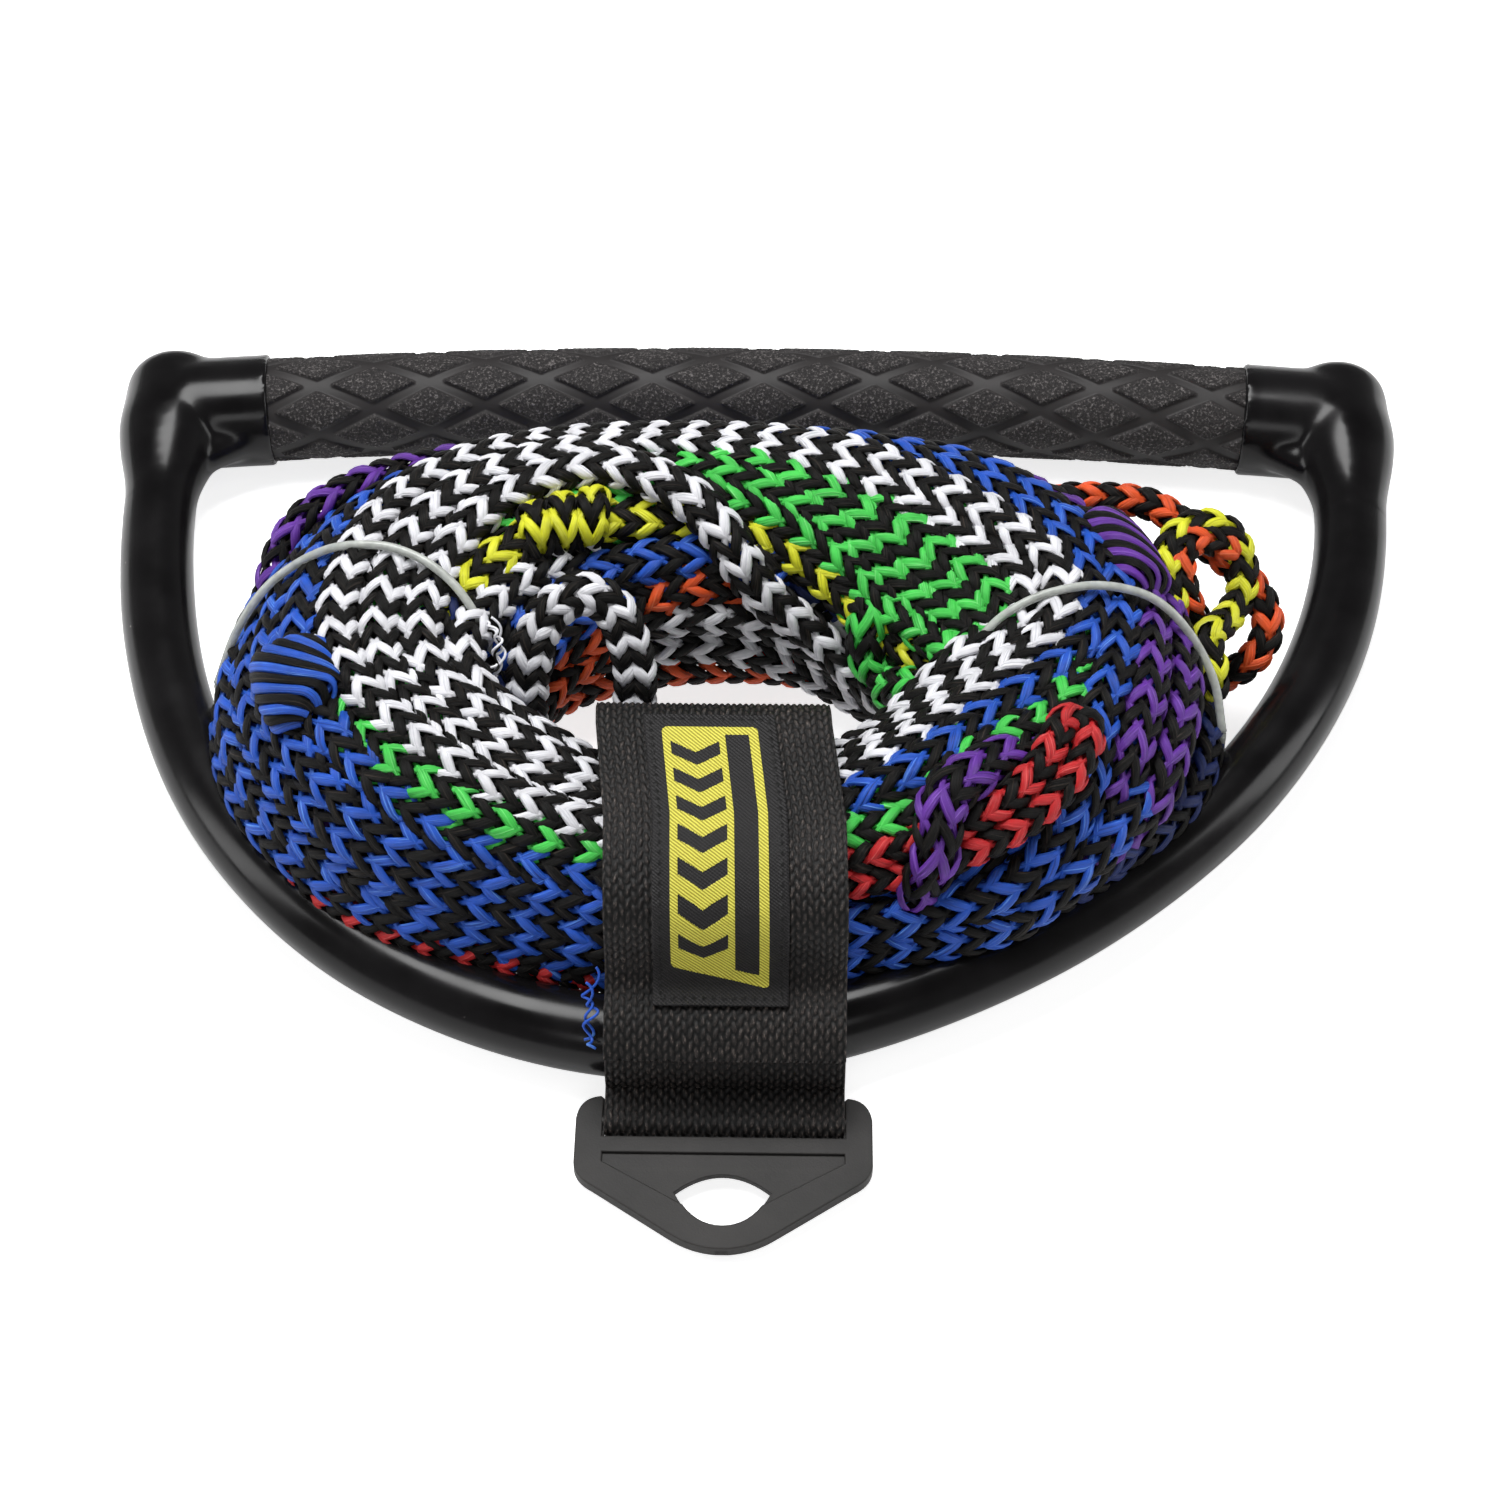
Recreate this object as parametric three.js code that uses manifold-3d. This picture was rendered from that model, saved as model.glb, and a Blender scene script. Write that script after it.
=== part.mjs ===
/*
 * Water-ski tow rope handle with its multi-colour line coiled inside the bow.
 *
 * The handle lies flat: the grip runs along X, the bow reaches out towards -Y, and a
 * webbing keeper strap ties the coil to the bow's apex and carries a moulded hanger.
 *
 * Units are millimetres, +Z is up. Pieces are drawn with x = 0 midway between the end
 * boots, y = 0 on the grip's chord and z = 0 on the floor. The last lines move the whole
 * handle so that the part's origin is the middle of its footprint, on the floor.
 */
import * as THREE from 'three';
import { mergeVertices } from 'three/addons/utils/BufferGeometryUtils.js';
import Module from 'manifold-3d';

const wasm = await Module();
wasm.setup();

// ---------------------------------------------------------------- driving dimensions
const GAP = 0.3;                    // clearance kept between neighbouring pieces
const SLIDING_GAP = 0.5;            // between a tube and what is pushed over or into it

const GRIP_RADIUS = 13;             // over the rubber sleeve
const GRIP_HALF_LENGTH = 126;       // sleeve end, tucked into the boot's collar
const GRIP_SAGITTA = 8;             // the bar bows gently away from the coil
const GRIP_AXIS_Z = 14;             // the boots' collars stand on the floor
const TUBE_RADIUS = 10;             // aluminium handle tube, outside
const TUBE_WALL = 1.8;
const TUBE_HALF_LENGTH = 136.5;
const PLUG_LENGTH = 16;

const BOW_RADIUS = 8.75;            // dipped vinyl tube, outside
const BOW_BORE_RADIUS = 5.9;
const BOW_CORE_RADIUS = 5.2;        // rope that runs through the bow
const BOW_HALF_WIDTH = 146.7;       // grip chord to each leg's centre line
const BOW_DEPTH = 187.5;            // grip chord to the apex's centre line
const BOW_APEX_X = -14;             // the apex sits left of centre
const BOW_APEX_Z = 11.4;            // the apex rests on the strap
const BOW_END_Y = 6;                // the bow's ends stand just past the grip's axis
const BOW_LEFT = { flare: 0.03, legPull: 151, apexPull: 50 };
const BOW_RIGHT = { flare: 0.08, legPull: 129, apexPull: 50 };

const BOOT_BULB_RADIUS = 13.3;
const BOOT_NECK_RADIUS = 9.9;
const BOOT_COLLAR_RADIUS = 14;
const BOOT_COLLAR_MOUTH = 122.5;    // distance of the collar's mouth from the middle
const BOOT_NECK_LENGTH = 36;        // how far the boot runs down the bow's leg
const BOOT_DOME_LENGTH = 16.5;      // how far it stands past the grip's axis
const BOOT_DOME_DEPTH = 9;          // the part of that length that is rounded over
const BOOT_TAPER = { from: 0.15, to: 0.8 };   // where the bulb narrows, as a share of the neck
const BOOT_WEB = { inset: 4, top: -2, bottom: -29, bendInset: 10, bendY: -16, mouthY: -13.5, thickness: 9 };

const COIL_HOLE = { x: -8, y: -108, halfX: 40, halfY: 25 };
const COIL_LOW_RIM = { x: -13, y: -98, halfX: 107, halfY: 65 };    // inside the bow
const COIL_HIGH_RIM = { x: -11, y: -106, halfX: 114, halfY: 75 };  // spills over the bow
const COIL_SPILL = { from: 20, to: 30 };   // heights over which one grows into the other
const COIL_FLOOR = 2.6;             // leaves room for the strap and ties underneath
const LEVEL_PITCH = 7;
const COLUMN_LEVELS = [6, 6, 7, 7, 5];   // rope passes stacked in each column, rim first
const STEPS_PER_TURN = 24;

const STRAP_WIDTH = 50.8;           // two-inch webbing
const STRAP_THICKNESS = 1.6;
const STRAP_X = -4;
const STRIP_THICKNESS = 1;          // hook tape and loop tape
const PATCH = { width: 29, thickness: 0.8, start: 14, end: 88 };

const HANGER = { halfWidth: 31.4, thickness: 3, barY: -203.4, barZ: 3.6, armLength: 5.9, tipY: -235.2 };
const HANGER_CORNER = 4;            // rounding of the two back corners
const HANGER_SHOULDER = { straight: 2, bendIn: 1, bendDown: 7, in: 8, down: 12 };   // at each side
const HANGER_TIP = { half: 13, back: 3.5, past: 2.5 };
const HANGER_EYE = { half: 10, front: 13.4, up: 5, down: 6.5, upBend: 0.8, downBend: 0.5 };

const SIDES = {                     // faces round each swept piece
  tube: 14, sleeve: 20, plug: 10, foam: 8, bow: 12, core: 6, boot: 20, rope: 6, tie: 5, bar: 10,
};

const COLOURS = {
  vinyl: 0x141315, rubber: 0x2c2a2b, aluminium: 0xb9bcc0, foam: 0xd8d3c4, nylon: 0x1a1a1b,
  hook: 0x222224, label: 0xd9cf4e, charcoal: 0x3a3a3b, clear: 0xe6e8ea, white: 0xe6e6ea,
  blue: 0x2a62c8, green: 0x62cc5c, yellow: 0xdedf38, orange: 0xe6582a, red: 0xcf3030,
  purple: 0x6a3aa0, core: 0x8b8b86,
};

// ---------------------------------------------------------------- geometry helpers
const vec = (x, y, z) => new THREE.Vector3(x, y, z);
const mix = THREE.MathUtils.lerp;
const UP = vec(0, 0, 1);

/** A regular polygon outline, as [side, up] pairs, turning anticlockwise. */
function roundOutline(radius, sides) {
  return Array.from({ length: sides }, (_, i) => {
    const angle = (2 * Math.PI * i) / sides;
    return [radius * Math.cos(angle), radius * Math.sin(angle)];
  });
}

/** Turns the faces round when they point inwards, judged by the signed volume. */
function facingOut(positions, triangles) {
  let volume = 0;
  const [a, b, c] = [vec(0, 0, 0), vec(0, 0, 0), vec(0, 0, 0)];
  for (let i = 0; i < triangles.length; i += 3) {
    a.fromArray(positions, 3 * triangles[i]);
    b.fromArray(positions, 3 * triangles[i + 1]);
    c.fromArray(positions, 3 * triangles[i + 2]);
    volume += a.dot(b.cross(c));
  }
  return volume < 0 ? triangles.slice().reverse() : triangles;
}

/** Skins a row of equal rings into one closed body; flat caps unless the row closes. */
function loft(rings, closed = false) {
  const sides = rings[0].length;
  const positions = rings.flat().flatMap((p) => [p.x, p.y, p.z]);
  const triangles = [];
  const spans = closed ? rings.length : rings.length - 1;
  for (let r = 0; r < spans; r += 1) {
    const here = r * sides;
    const next = ((r + 1) % rings.length) * sides;
    for (let s = 0; s < sides; s += 1) {
      const t = (s + 1) % sides;
      triangles.push(here + s, here + t, next + t);
      triangles.push(here + s, next + t, next + s);
    }
  }
  if (!closed) {
    const last = (rings.length - 1) * sides;
    for (let s = 1; s < sides - 1; s += 1) {
      triangles.push(0, s + 1, s);
      triangles.push(last, last + s, last + s + 1);
    }
  }
  const geometry = new THREE.BufferGeometry();
  geometry.setAttribute('position', new THREE.Float32BufferAttribute(positions, 3));
  geometry.setIndex(facingOut(positions, triangles));
  return geometry;
}

/** Rings that carry an outline along a row of points; `up` keeps the outline level. */
function ringsAlong(points, outline, { up = UP, closed = false, scale = () => 1 } = {}) {
  const count = points.length;
  return points.map((point, i) => {
    const before = closed ? points[(i + count - 1) % count] : points[Math.max(i - 1, 0)];
    const after = closed ? points[(i + 1) % count] : points[Math.min(i + 1, count - 1)];
    const along = after.clone().sub(before).normalize();
    const side = along.clone().cross(up).normalize();
    const rise = side.clone().cross(along);
    const size = scale(i / (count - 1));
    return outline.map(([a, b]) => point.clone()
      .addScaledVector(side, a * size)
      .addScaledVector(rise, b * size));
  });
}

const sweep = (points, outline, options = {}) => (
  loft(ringsAlong(points, outline, options), options.closed)
);

/** A tube with an open bore: the outer skin and the inner skin joined at both mouths. */
function hollowTube(points, outerRadius, innerRadius, sides) {
  const outer = ringsAlong(points, roundOutline(outerRadius, sides));
  const inner = ringsAlong(points, roundOutline(innerRadius, sides));
  return loft([...outer, ...inner.reverse()], true);
}

function toManifold(geometry) {
  const bare = geometry.clone();
  bare.deleteAttribute('normal');
  bare.deleteAttribute('uv');
  const merged = mergeVertices(bare, 1e-3);
  const vertProperties = new Float32Array(merged.attributes.position.array);
  const triVerts = new Uint32Array(merged.index.array);
  return new wasm.Manifold(new wasm.Mesh({ numProp: 3, vertProperties, triVerts }));
}

function fromManifold(solid) {
  const mesh = solid.getMesh();
  const geometry = new THREE.BufferGeometry();
  geometry.setAttribute('position', new THREE.BufferAttribute(mesh.vertProperties, 3));
  geometry.setIndex(new THREE.BufferAttribute(mesh.triVerts, 1));
  return geometry;
}

/** Joins the first list of shapes, then cuts every shape of the second list away. */
function joinAndCut(joined, cuts) {
  const body = joined.map(toManifold).reduce((a, b) => a.add(b));
  return fromManifold(cuts.map(toManifold).reduce((a, b) => a.subtract(b), body));
}

const handle = new THREE.Group();
handle.name = 'tow_rope_handle';

function addPiece(name, geometry, colour, roughness = 0.6, metalness = 0, opacity = 1) {
  const material = new THREE.MeshStandardMaterial({
    color: colour, roughness, metalness, opacity, transparent: opacity < 1,
  });
  const mesh = new THREE.Mesh(geometry, material);
  mesh.name = name;
  handle.add(mesh);
  return mesh;
}

// ---------------------------------------------------------------- grip bar
/** A point on the bar's centre line; the bar is a shallow arc in the floor's plane. */
function barPoint(x) {
  const reach = x / BOW_HALF_WIDTH;
  return vec(x, GRIP_SAGITTA * (1 - reach * reach), GRIP_AXIS_Z);
}

function barPoints(fromX, toX, steps) {
  return Array.from({ length: steps + 1 }, (_, i) => barPoint(mix(fromX, toX, i / steps)));
}

function makeGripBar() {
  const tubeLine = barPoints(-TUBE_HALF_LENGTH, TUBE_HALF_LENGTH, 12);
  const bore = TUBE_RADIUS - TUBE_WALL;
  const tube = hollowTube(tubeLine, TUBE_RADIUS, bore, SIDES.tube);
  addPiece('handle_tube', tube, COLOURS.aluminium, 0.3, 1);

  const sleeveLine = barPoints(-GRIP_HALF_LENGTH, GRIP_HALF_LENGTH, 14);
  const sleeveBore = TUBE_RADIUS + SLIDING_GAP;
  const sleeve = hollowTube(sleeveLine, GRIP_RADIUS, sleeveBore, SIDES.sleeve);
  addPiece('grip_sleeve', sleeve, COLOURS.rubber, 0.8);

  const plugRadius = bore - SLIDING_GAP;
  for (const [name, side] of [['left_end_plug', -1], ['right_end_plug', 1]]) {
    const outer = side * (TUBE_HALF_LENGTH - GAP);
    const inner = side * (TUBE_HALF_LENGTH - PLUG_LENGTH);
    const plug = sweep(barPoints(outer, inner, 1), roundOutline(plugRadius, SIDES.plug));
    addPiece(name, plug, COLOURS.nylon);
  }
  const foamEnd = TUBE_HALF_LENGTH - PLUG_LENGTH - 1;
  const foam = sweep(barPoints(-foamEnd, foamEnd, 10), roundOutline(plugRadius, SIDES.foam));
  addPiece('float_core', foam, COLOURS.foam, 0.9);
}

// ---------------------------------------------------------------- bow
/** One half of the bow's centre line, from a leg's root to the apex. */
function bowHalf(side, { flare, legPull, apexPull }) {
  const root = vec(side * BOW_HALF_WIDTH, 0, GRIP_AXIS_Z);
  const apex = vec(BOW_APEX_X, -BOW_DEPTH, BOW_APEX_Z);
  const legWay = vec(side * Math.sin(flare), -Math.cos(flare), 0);
  const legControl = root.clone().addScaledVector(legWay, legPull);
  const apexControl = apex.clone().add(vec(side * apexPull, 0, 0));
  return new THREE.CubicBezierCurve3(root, legControl, apexControl, apex);
}

const bowHalves = { left: bowHalf(-1, BOW_LEFT), right: bowHalf(1, BOW_RIGHT) };

function bowPoints(stepsPerHalf) {
  const left = bowHalves.left.getPoints(stepsPerHalf);
  const right = bowHalves.right.getPoints(stepsPerHalf).reverse().slice(1);
  const lead = [vec(-BOW_HALF_WIDTH, BOW_END_Y, GRIP_AXIS_Z)];
  const tail = [vec(BOW_HALF_WIDTH, BOW_END_Y, GRIP_AXIS_Z)];
  return [...lead, ...left, ...right, ...tail];
}

function makeBow() {
  const line = bowPoints(16);
  const tube = hollowTube(line, BOW_RADIUS, BOW_BORE_RADIUS, SIDES.bow);
  addPiece('bow_tube', tube, COLOURS.vinyl, 0.2);
  const core = sweep(line.slice(1, -1), roundOutline(BOW_CORE_RADIUS, SIDES.core));
  addPiece('bow_core_rope', core, COLOURS.core);
}

// ---------------------------------------------------------------- end boots
/** The boot's leg: a domed bulb at the grip that narrows down the bow's leg. */
function bootLeg(side, half) {
  const domeSteps = 5;
  const domeCentreY = BOOT_DOME_LENGTH - BOOT_DOME_DEPTH;
  const rings = [];
  for (let i = 0; i < domeSteps; i += 1) {
    const angle = ((i + 0.5) / domeSteps) * (Math.PI / 2);
    const y = domeCentreY + BOOT_DOME_DEPTH * Math.cos(angle);
    const centre = vec(side * BOW_HALF_WIDTH, y, GRIP_AXIS_Z);
    rings.push({ centre, radius: BOOT_BULB_RADIUS * Math.sin(angle) });
  }
  const neckSteps = 8;
  for (let i = 0; i <= neckSteps; i += 1) {
    const down = i / neckSteps;
    const centre = half.getPointAt((down * BOOT_NECK_LENGTH) / half.getLength());
    const narrowing = THREE.MathUtils.smoothstep(down, BOOT_TAPER.from, BOOT_TAPER.to);
    rings.push({ centre, radius: mix(BOOT_BULB_RADIUS, BOOT_NECK_RADIUS, narrowing) });
  }
  const radiusAt = (share) => rings[Math.round(share * (rings.length - 1))].radius;
  const centres = rings.map((ring) => ring.centre);
  return sweep(centres, roundOutline(1, SIDES.boot), { scale: radiusAt });
}

/** The web that fills the inside corner between the collar and the leg. */
function bootWeb(side) {
  const { inset, top, bottom, bendInset, bendY, mouthY, thickness } = BOOT_WEB;
  const legX = side * (BOW_HALF_WIDTH - inset);
  const bendX = side * (BOW_HALF_WIDTH - bendInset);
  const mouthX = side * (BOOT_COLLAR_MOUTH + 1);
  const shape = new THREE.Shape();
  shape.moveTo(legX, top);
  shape.lineTo(legX, bottom);
  shape.quadraticCurveTo(bendX, bendY, mouthX, mouthY);
  shape.lineTo(mouthX, top);
  const options = { depth: thickness, bevelEnabled: false, curveSegments: 5 };
  const web = new THREE.ExtrudeGeometry(shape, options);
  web.translate(0, 0, GRIP_AXIS_Z - thickness / 2);
  return web;
}

function makeBoot(name, side, half) {
  const alongBar = (fromX, toX, radius, steps) => (
    sweep(barPoints(side * fromX, side * toX, steps), roundOutline(radius, SIDES.boot))
  );
  const collar = alongBar(BOW_HALF_WIDTH - 3, BOOT_COLLAR_MOUTH, BOOT_COLLAR_RADIUS, 3);
  const sleeveSeat = alongBar(GRIP_HALF_LENGTH + GAP, BOOT_COLLAR_MOUTH - 2, GRIP_RADIUS + GAP, 2);
  const tubeSeat = alongBar(TUBE_HALF_LENGTH + GAP, BOOT_COLLAR_MOUTH, TUBE_RADIUS + GAP, 2);
  const legTop = vec(side * BOW_HALF_WIDTH, BOW_END_Y + GAP, GRIP_AXIS_Z);
  const legLine = [legTop, ...half.getPoints(16).slice(0, 8)];
  const legSeat = sweep(legLine, roundOutline(BOW_RADIUS + GAP, SIDES.boot));
  const outside = [bootLeg(side, half), collar, bootWeb(side)];
  addPiece(name, joinAndCut(outside, [sleeveSeat, tubeSeat, legSeat]), COLOURS.vinyl, 0.2);
}

// ---------------------------------------------------------------- coiled line
const COLUMNS = COLUMN_LEVELS.length;
const CELL_FILL = 0.42;             // half of a cell's width that the rope takes
const ROPE_HALF_HEIGHT = 3.2;

/** A point of the coil: `turn` in turns from the front, `spread` 0 at the hole, 1 at the rim. */
function coilPoint(turn, spread, z) {
  const { from, to } = COIL_SPILL;
  const spill = THREE.MathUtils.clamp((z - from) / (to - from), 0, 1);
  const rim = (key) => mix(COIL_LOW_RIM[key], COIL_HIGH_RIM[key], spill);
  const size = (key) => mix(COIL_HOLE[key], rim(key), spread);
  const angle = 2 * Math.PI * turn - Math.PI / 2;
  return vec(
    size('x') + size('halfX') * Math.cos(angle),
    size('y') + size('halfY') * Math.sin(angle),
    z,
  );
}

const columnTop = (column) => COIL_FLOOR + COLUMN_LEVELS[column] * LEVEL_PITCH;

/** Every pass of the line in laying order: up the rim column, down the next, and so on. */
const slots = COLUMN_LEVELS.flatMap((levels, column) => {
  const rows = Array.from({ length: levels }, (_, i) => (column % 2 === 0 ? i : levels - 1 - i));
  return rows.map((level) => ({ column, level }));
});

/**
 * Where in its turn a pass moves on to the next slot, as a step count. A later slot is
 * always left before the pass behind moves into it, so no two passes ever meet.
 */
function moveStep(index) {
  const column = slots[index].column;
  const crossing = index + 1 < slots.length && slots[index + 1].column !== column;
  return 2 + 2 * (2 * (COLUMNS - 1 - column) - (crossing ? 1 : 0));
}

/** The rope's rectangular section at one step along the whole line. */
function lineRing(step) {
  const index = Math.min(Math.floor(step / STEPS_PER_TURN), slots.length - 1);
  const stepInTurn = step - index * STEPS_PER_TURN;
  const here = slots[index];
  const next = slots[Math.min(index + 1, slots.length - 1)];
  const moved = THREE.MathUtils.clamp((stepInTurn - moveStep(index)) / 2, 0, 1);
  const spread = 1 - (mix(here.column, next.column, moved) + 0.5) / COLUMNS;
  const z = COIL_FLOOR + (mix(here.level, next.level, moved) + 0.5) * LEVEL_PITCH;
  const half = CELL_FILL / COLUMNS;
  const turn = stepInTurn / STEPS_PER_TURN;
  return [
    coilPoint(turn, spread - half, z - ROPE_HALF_HEIGHT),
    coilPoint(turn, spread + half, z - ROPE_HALF_HEIGHT),
    coilPoint(turn, spread + half, z + ROPE_HALF_HEIGHT),
    coilPoint(turn, spread - half, z + ROPE_HALF_HEIGHT),
  ];
}

/** The line's sections from the handle outwards, with the passes that each one fills. */
const SECTIONS = [
  ['red', 1], ['blue', 8], ['purple', 3], ['orange', 2], ['yellow', 2], ['green', 3], ['white', 12],
];

function makeLine() {
  let firstPass = 0;
  const lastSlot = slots.length - 1;
  const lineEnd = lastSlot * STEPS_PER_TURN + moveStep(lastSlot - 1);
  for (const [colour, passes] of SECTIONS) {
    const rings = [];
    const lastStep = Math.min((firstPass + passes) * STEPS_PER_TURN - 1, lineEnd);
    for (let step = firstPass * STEPS_PER_TURN; step <= lastStep; step += 1) {
      rings.push(lineRing(step));
    }
    addPiece(`line_${colour}`, loft(rings), COLOURS[colour], 0.7);
    firstPass += passes;
  }
}

// ---------------------------------------------------------------- loops and splices on the coil
/** A smooth row of points through a few places on the coil, given as [turn, spread, z]. */
function coilPath(places, steps) {
  const points = places.map(([turn, spread, z]) => coilPoint(turn, spread, z));
  return new THREE.CatmullRomCurve3(points).getSpacedPoints(steps);
}

const OUTER_TOP = columnTop(0) + GAP;
const MIDDLE_TOP = columnTop(2) + GAP;
const INNER_TOP = columnTop(4) + GAP;

function makeLoops() {
  const add = (name, colour, radius, places, steps = 12) => {
    const rod = sweep(coilPath(places, steps), roundOutline(radius, SIDES.rope));
    addPiece(name, rod, COLOURS[colour], 0.7);
  };
  const splice = 6.2;
  add('purple_splice', 'purple', splice, [
    [0.42, 0.78, OUTER_TOP + splice], [0.32, 0.78, OUTER_TOP + splice],
    [0.24, 0.78, OUTER_TOP + splice], [0.16, 0.78, OUTER_TOP + splice]]);
  add('blue_splice', 'blue', splice, [
    [0.83, 0.82, OUTER_TOP + splice], [0.78, 0.82, OUTER_TOP + splice],
    [0.73, 0.82, OUTER_TOP + splice]], 6);
  const knot = 5;
  add('yellow_splice', 'yellow', knot, [
    [0.62, 0.4, MIDDLE_TOP + knot], [0.58, 0.4, MIDDLE_TOP + knot],
    [0.54, 0.4, MIDDLE_TOP + knot]], 4);
  const rope = 3.6;
  add('green_loop', 'green', rope, [
    [0.34, 0.1, INNER_TOP + rope], [0.28, 0.1, INNER_TOP + rope], [0.2, 0.1, INNER_TOP + rope]], 8);
  add('red_loop', 'red', rope, [
    [0.19, 0.42, MIDDLE_TOP + rope + 0.5], [0.15, 0.52, MIDDLE_TOP + rope + 0.5],
    [0.12, 0.72, MIDDLE_TOP], [0.09, 0.86, OUTER_TOP + rope]], 10);
  add('orange_loop', 'orange', rope, [
    [0.37, 1.08, 38], [0.34, 1.14, 34], [0.31, 1.2, 25], [0.28, 1.18, 16]], 10);
  add('yellow_loop', 'yellow', rope, [
    [0.33, 1.08, 50], [0.29, 1.14, 45], [0.25, 1.14, 36], [0.23, 1.09, 26]], 10);
}

/** The eye that drops over the boat's pylon: an upturned U standing in the coil's hole. */
const EYE = { left: -44, right: -22, y: -106, bendZ: 50.5, leanPerRise: 0.45, radius: 4.6 };
const EYE_ROUNDNESS = 0.9;          // the bend's height as a share of its half width

function makeBoatEndLoop() {
  const halfSpan = (EYE.right - EYE.left) / 2;
  const middle = (EYE.right + EYE.left) / 2;
  const bendSteps = 8;
  const bend = Array.from({ length: bendSteps + 1 }, (_, i) => {
    const angle = Math.PI * (1 - i / bendSteps);
    const rise = halfSpan * EYE_ROUNDNESS * Math.sin(angle);
    const y = EYE.y + EYE.leanPerRise * (rise + halfSpan * EYE_ROUNDNESS);
    return vec(middle + halfSpan * Math.cos(angle), y, EYE.bendZ + rise);
  });
  const leftFoot = [
    vec(EYE.left, EYE.y, INNER_TOP + EYE.radius + 1),
    vec(EYE.left, EYE.y + 2, 47),
  ];
  const rightFoot = [
    vec(EYE.right, EYE.y + 2, 42),
    vec(EYE.right, EYE.y, 30),
    vec(EYE.right, EYE.y - 3, 16),
  ];
  const line = [...leftFoot, ...bend, ...rightFoot];
  const rod = sweep(line, roundOutline(EYE.radius, SIDES.rope), { up: vec(0, 1, 0) });
  addPiece('boat_end_loop', rod, COLOURS.white, 0.7);
}

const TIE_RADIUS = 0.85;

/** A clear plastic tie: a thin closed loop round the coil's whole section. */
function makeTie(name, turn, crownZ) {
  const floor = COIL_FLOOR - TIE_RADIUS - GAP;
  const inside = -0.03;
  const outside = 1.03;
  const corners = [
    [inside, floor], [0.25, floor], [0.5, floor], [0.75, floor], [outside, floor],
    [outside, 20], [outside, 40], [0.98, crownZ - 9], [0.86, crownZ - 2], [0.65, crownZ],
    [0.4, crownZ], [0.18, crownZ - 3], [0.02, crownZ - 10], [inside, 36], [inside, 18],
  ];
  const points = corners.map(([spread, z]) => coilPoint(turn, spread, COIL_SPILL.to).setZ(z));
  const across = coilPoint(turn, 1, 0).sub(coilPoint(turn, 0, 0)).cross(UP).normalize();
  const options = { up: across, closed: true };
  const cord = sweep(points, roundOutline(TIE_RADIUS, SIDES.tie), options);
  addPiece(name, cord, COLOURS.clear, 0.25, 0, 0.5);
}

// ---------------------------------------------------------------- keeper strap
const HALF_WEB = STRAP_THICKNESS / 2;
const TAPE_WIDTH = STRAP_WIDTH - 4;
const BAR_RADIUS = HANGER.thickness / 2;
const WRAP_RADIUS = BAR_RADIUS + GAP + HALF_WEB;
const BOW_SLACK = 2.8;              // the webbing is straight where the bow curves
const TAB_RADIUS = BOW_RADIUS + BOW_SLACK + HALF_WEB;
const FLAP_RADIUS = TAB_RADIUS + 2 * HALF_WEB + 2 * STRIP_THICKNESS + 3 * GAP;
const STRAP_FLOOR = HANGER.barZ - WRAP_RADIUS;
const STRAP_BOW_Y = -185;           // the bow's mean centre line under the strap
const ARCS = {                      // how far each layer wraps, in degrees from +Y
  tab: [92, 195], bar: [75, 270], flap: [104, 146], hook: [96, 142], loop: [102, 140],
};
const holeReach = (STRAP_WIDTH / 2 + 4) / COIL_HOLE.halfX;
const HOLE_FRONT = COIL_HOLE.y - COIL_HOLE.halfY * Math.sqrt(1 - holeReach * holeReach);
const RISE_Y = HOLE_FRONT + 2 * GAP + HALF_WEB;
const HINGE_Z = 42;                 // where the flap folds open at the hole's edge

const flat = (y, z) => new THREE.Vector2(y, z);

/** Points of an arc in the strap's (Y, Z) plane; angles in degrees from +Y. */
function arcPoints(centreY, centreZ, radius, [fromDegrees, toDegrees], steps) {
  return Array.from({ length: steps + 1 }, (_, i) => {
    const angle = THREE.MathUtils.degToRad(mix(fromDegrees, toDegrees, i / steps));
    return flat(centreY + radius * Math.cos(angle), centreZ + radius * Math.sin(angle));
  });
}

const aroundBow = (radius, arc, steps) => arcPoints(STRAP_BOW_Y, BOW_APEX_Z, radius, arc, steps);

/** The fixed part: tab over the bow, round the hanger's bar, under the coil, up the hole. */
const baseLine = [
  ...aroundBow(TAB_RADIUS, ARCS.tab, 8),
  ...arcPoints(HANGER.barY, HANGER.barZ, WRAP_RADIUS, ARCS.bar, 9),
  flat(RISE_Y - 4, STRAP_FLOOR),
  flat(RISE_Y, STRAP_FLOOR + 4),
  flat(RISE_Y, HINGE_Z - 0.6),
];

/** The flap: from the hole's edge over the coil's crown and down over the bow. */
const flapCrown = MIDDLE_TOP + HALF_WEB + GAP;
const coilFront = COIL_HIGH_RIM.y - COIL_HIGH_RIM.halfY - 2 * GAP - HALF_WEB;
const bowTurnZ = BOW_APEX_Z + FLAP_RADIUS;
const flapLine = [
  flat(RISE_Y, HINGE_Z + 0.3),
  flat(RISE_Y - 2.5, HINGE_Z + 7.5),
  flat(RISE_Y - 6, flapCrown - 0.5),
  flat(RISE_Y - 10, flapCrown),
  flat(coilFront + 18, flapCrown),
  flat(coilFront + 8, flapCrown - 3),
  flat(coilFront + 2, flapCrown - 5),
  flat(coilFront, flapCrown - 8),
  flat(coilFront, bowTurnZ + 6),
  flat(coilFront - 1.2, bowTurnZ + 2.5),
  flat(coilFront - 3.8, bowTurnZ + 0.4),
  ...aroundBow(FLAP_RADIUS, ARCS.flap, 4),
];

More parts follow.
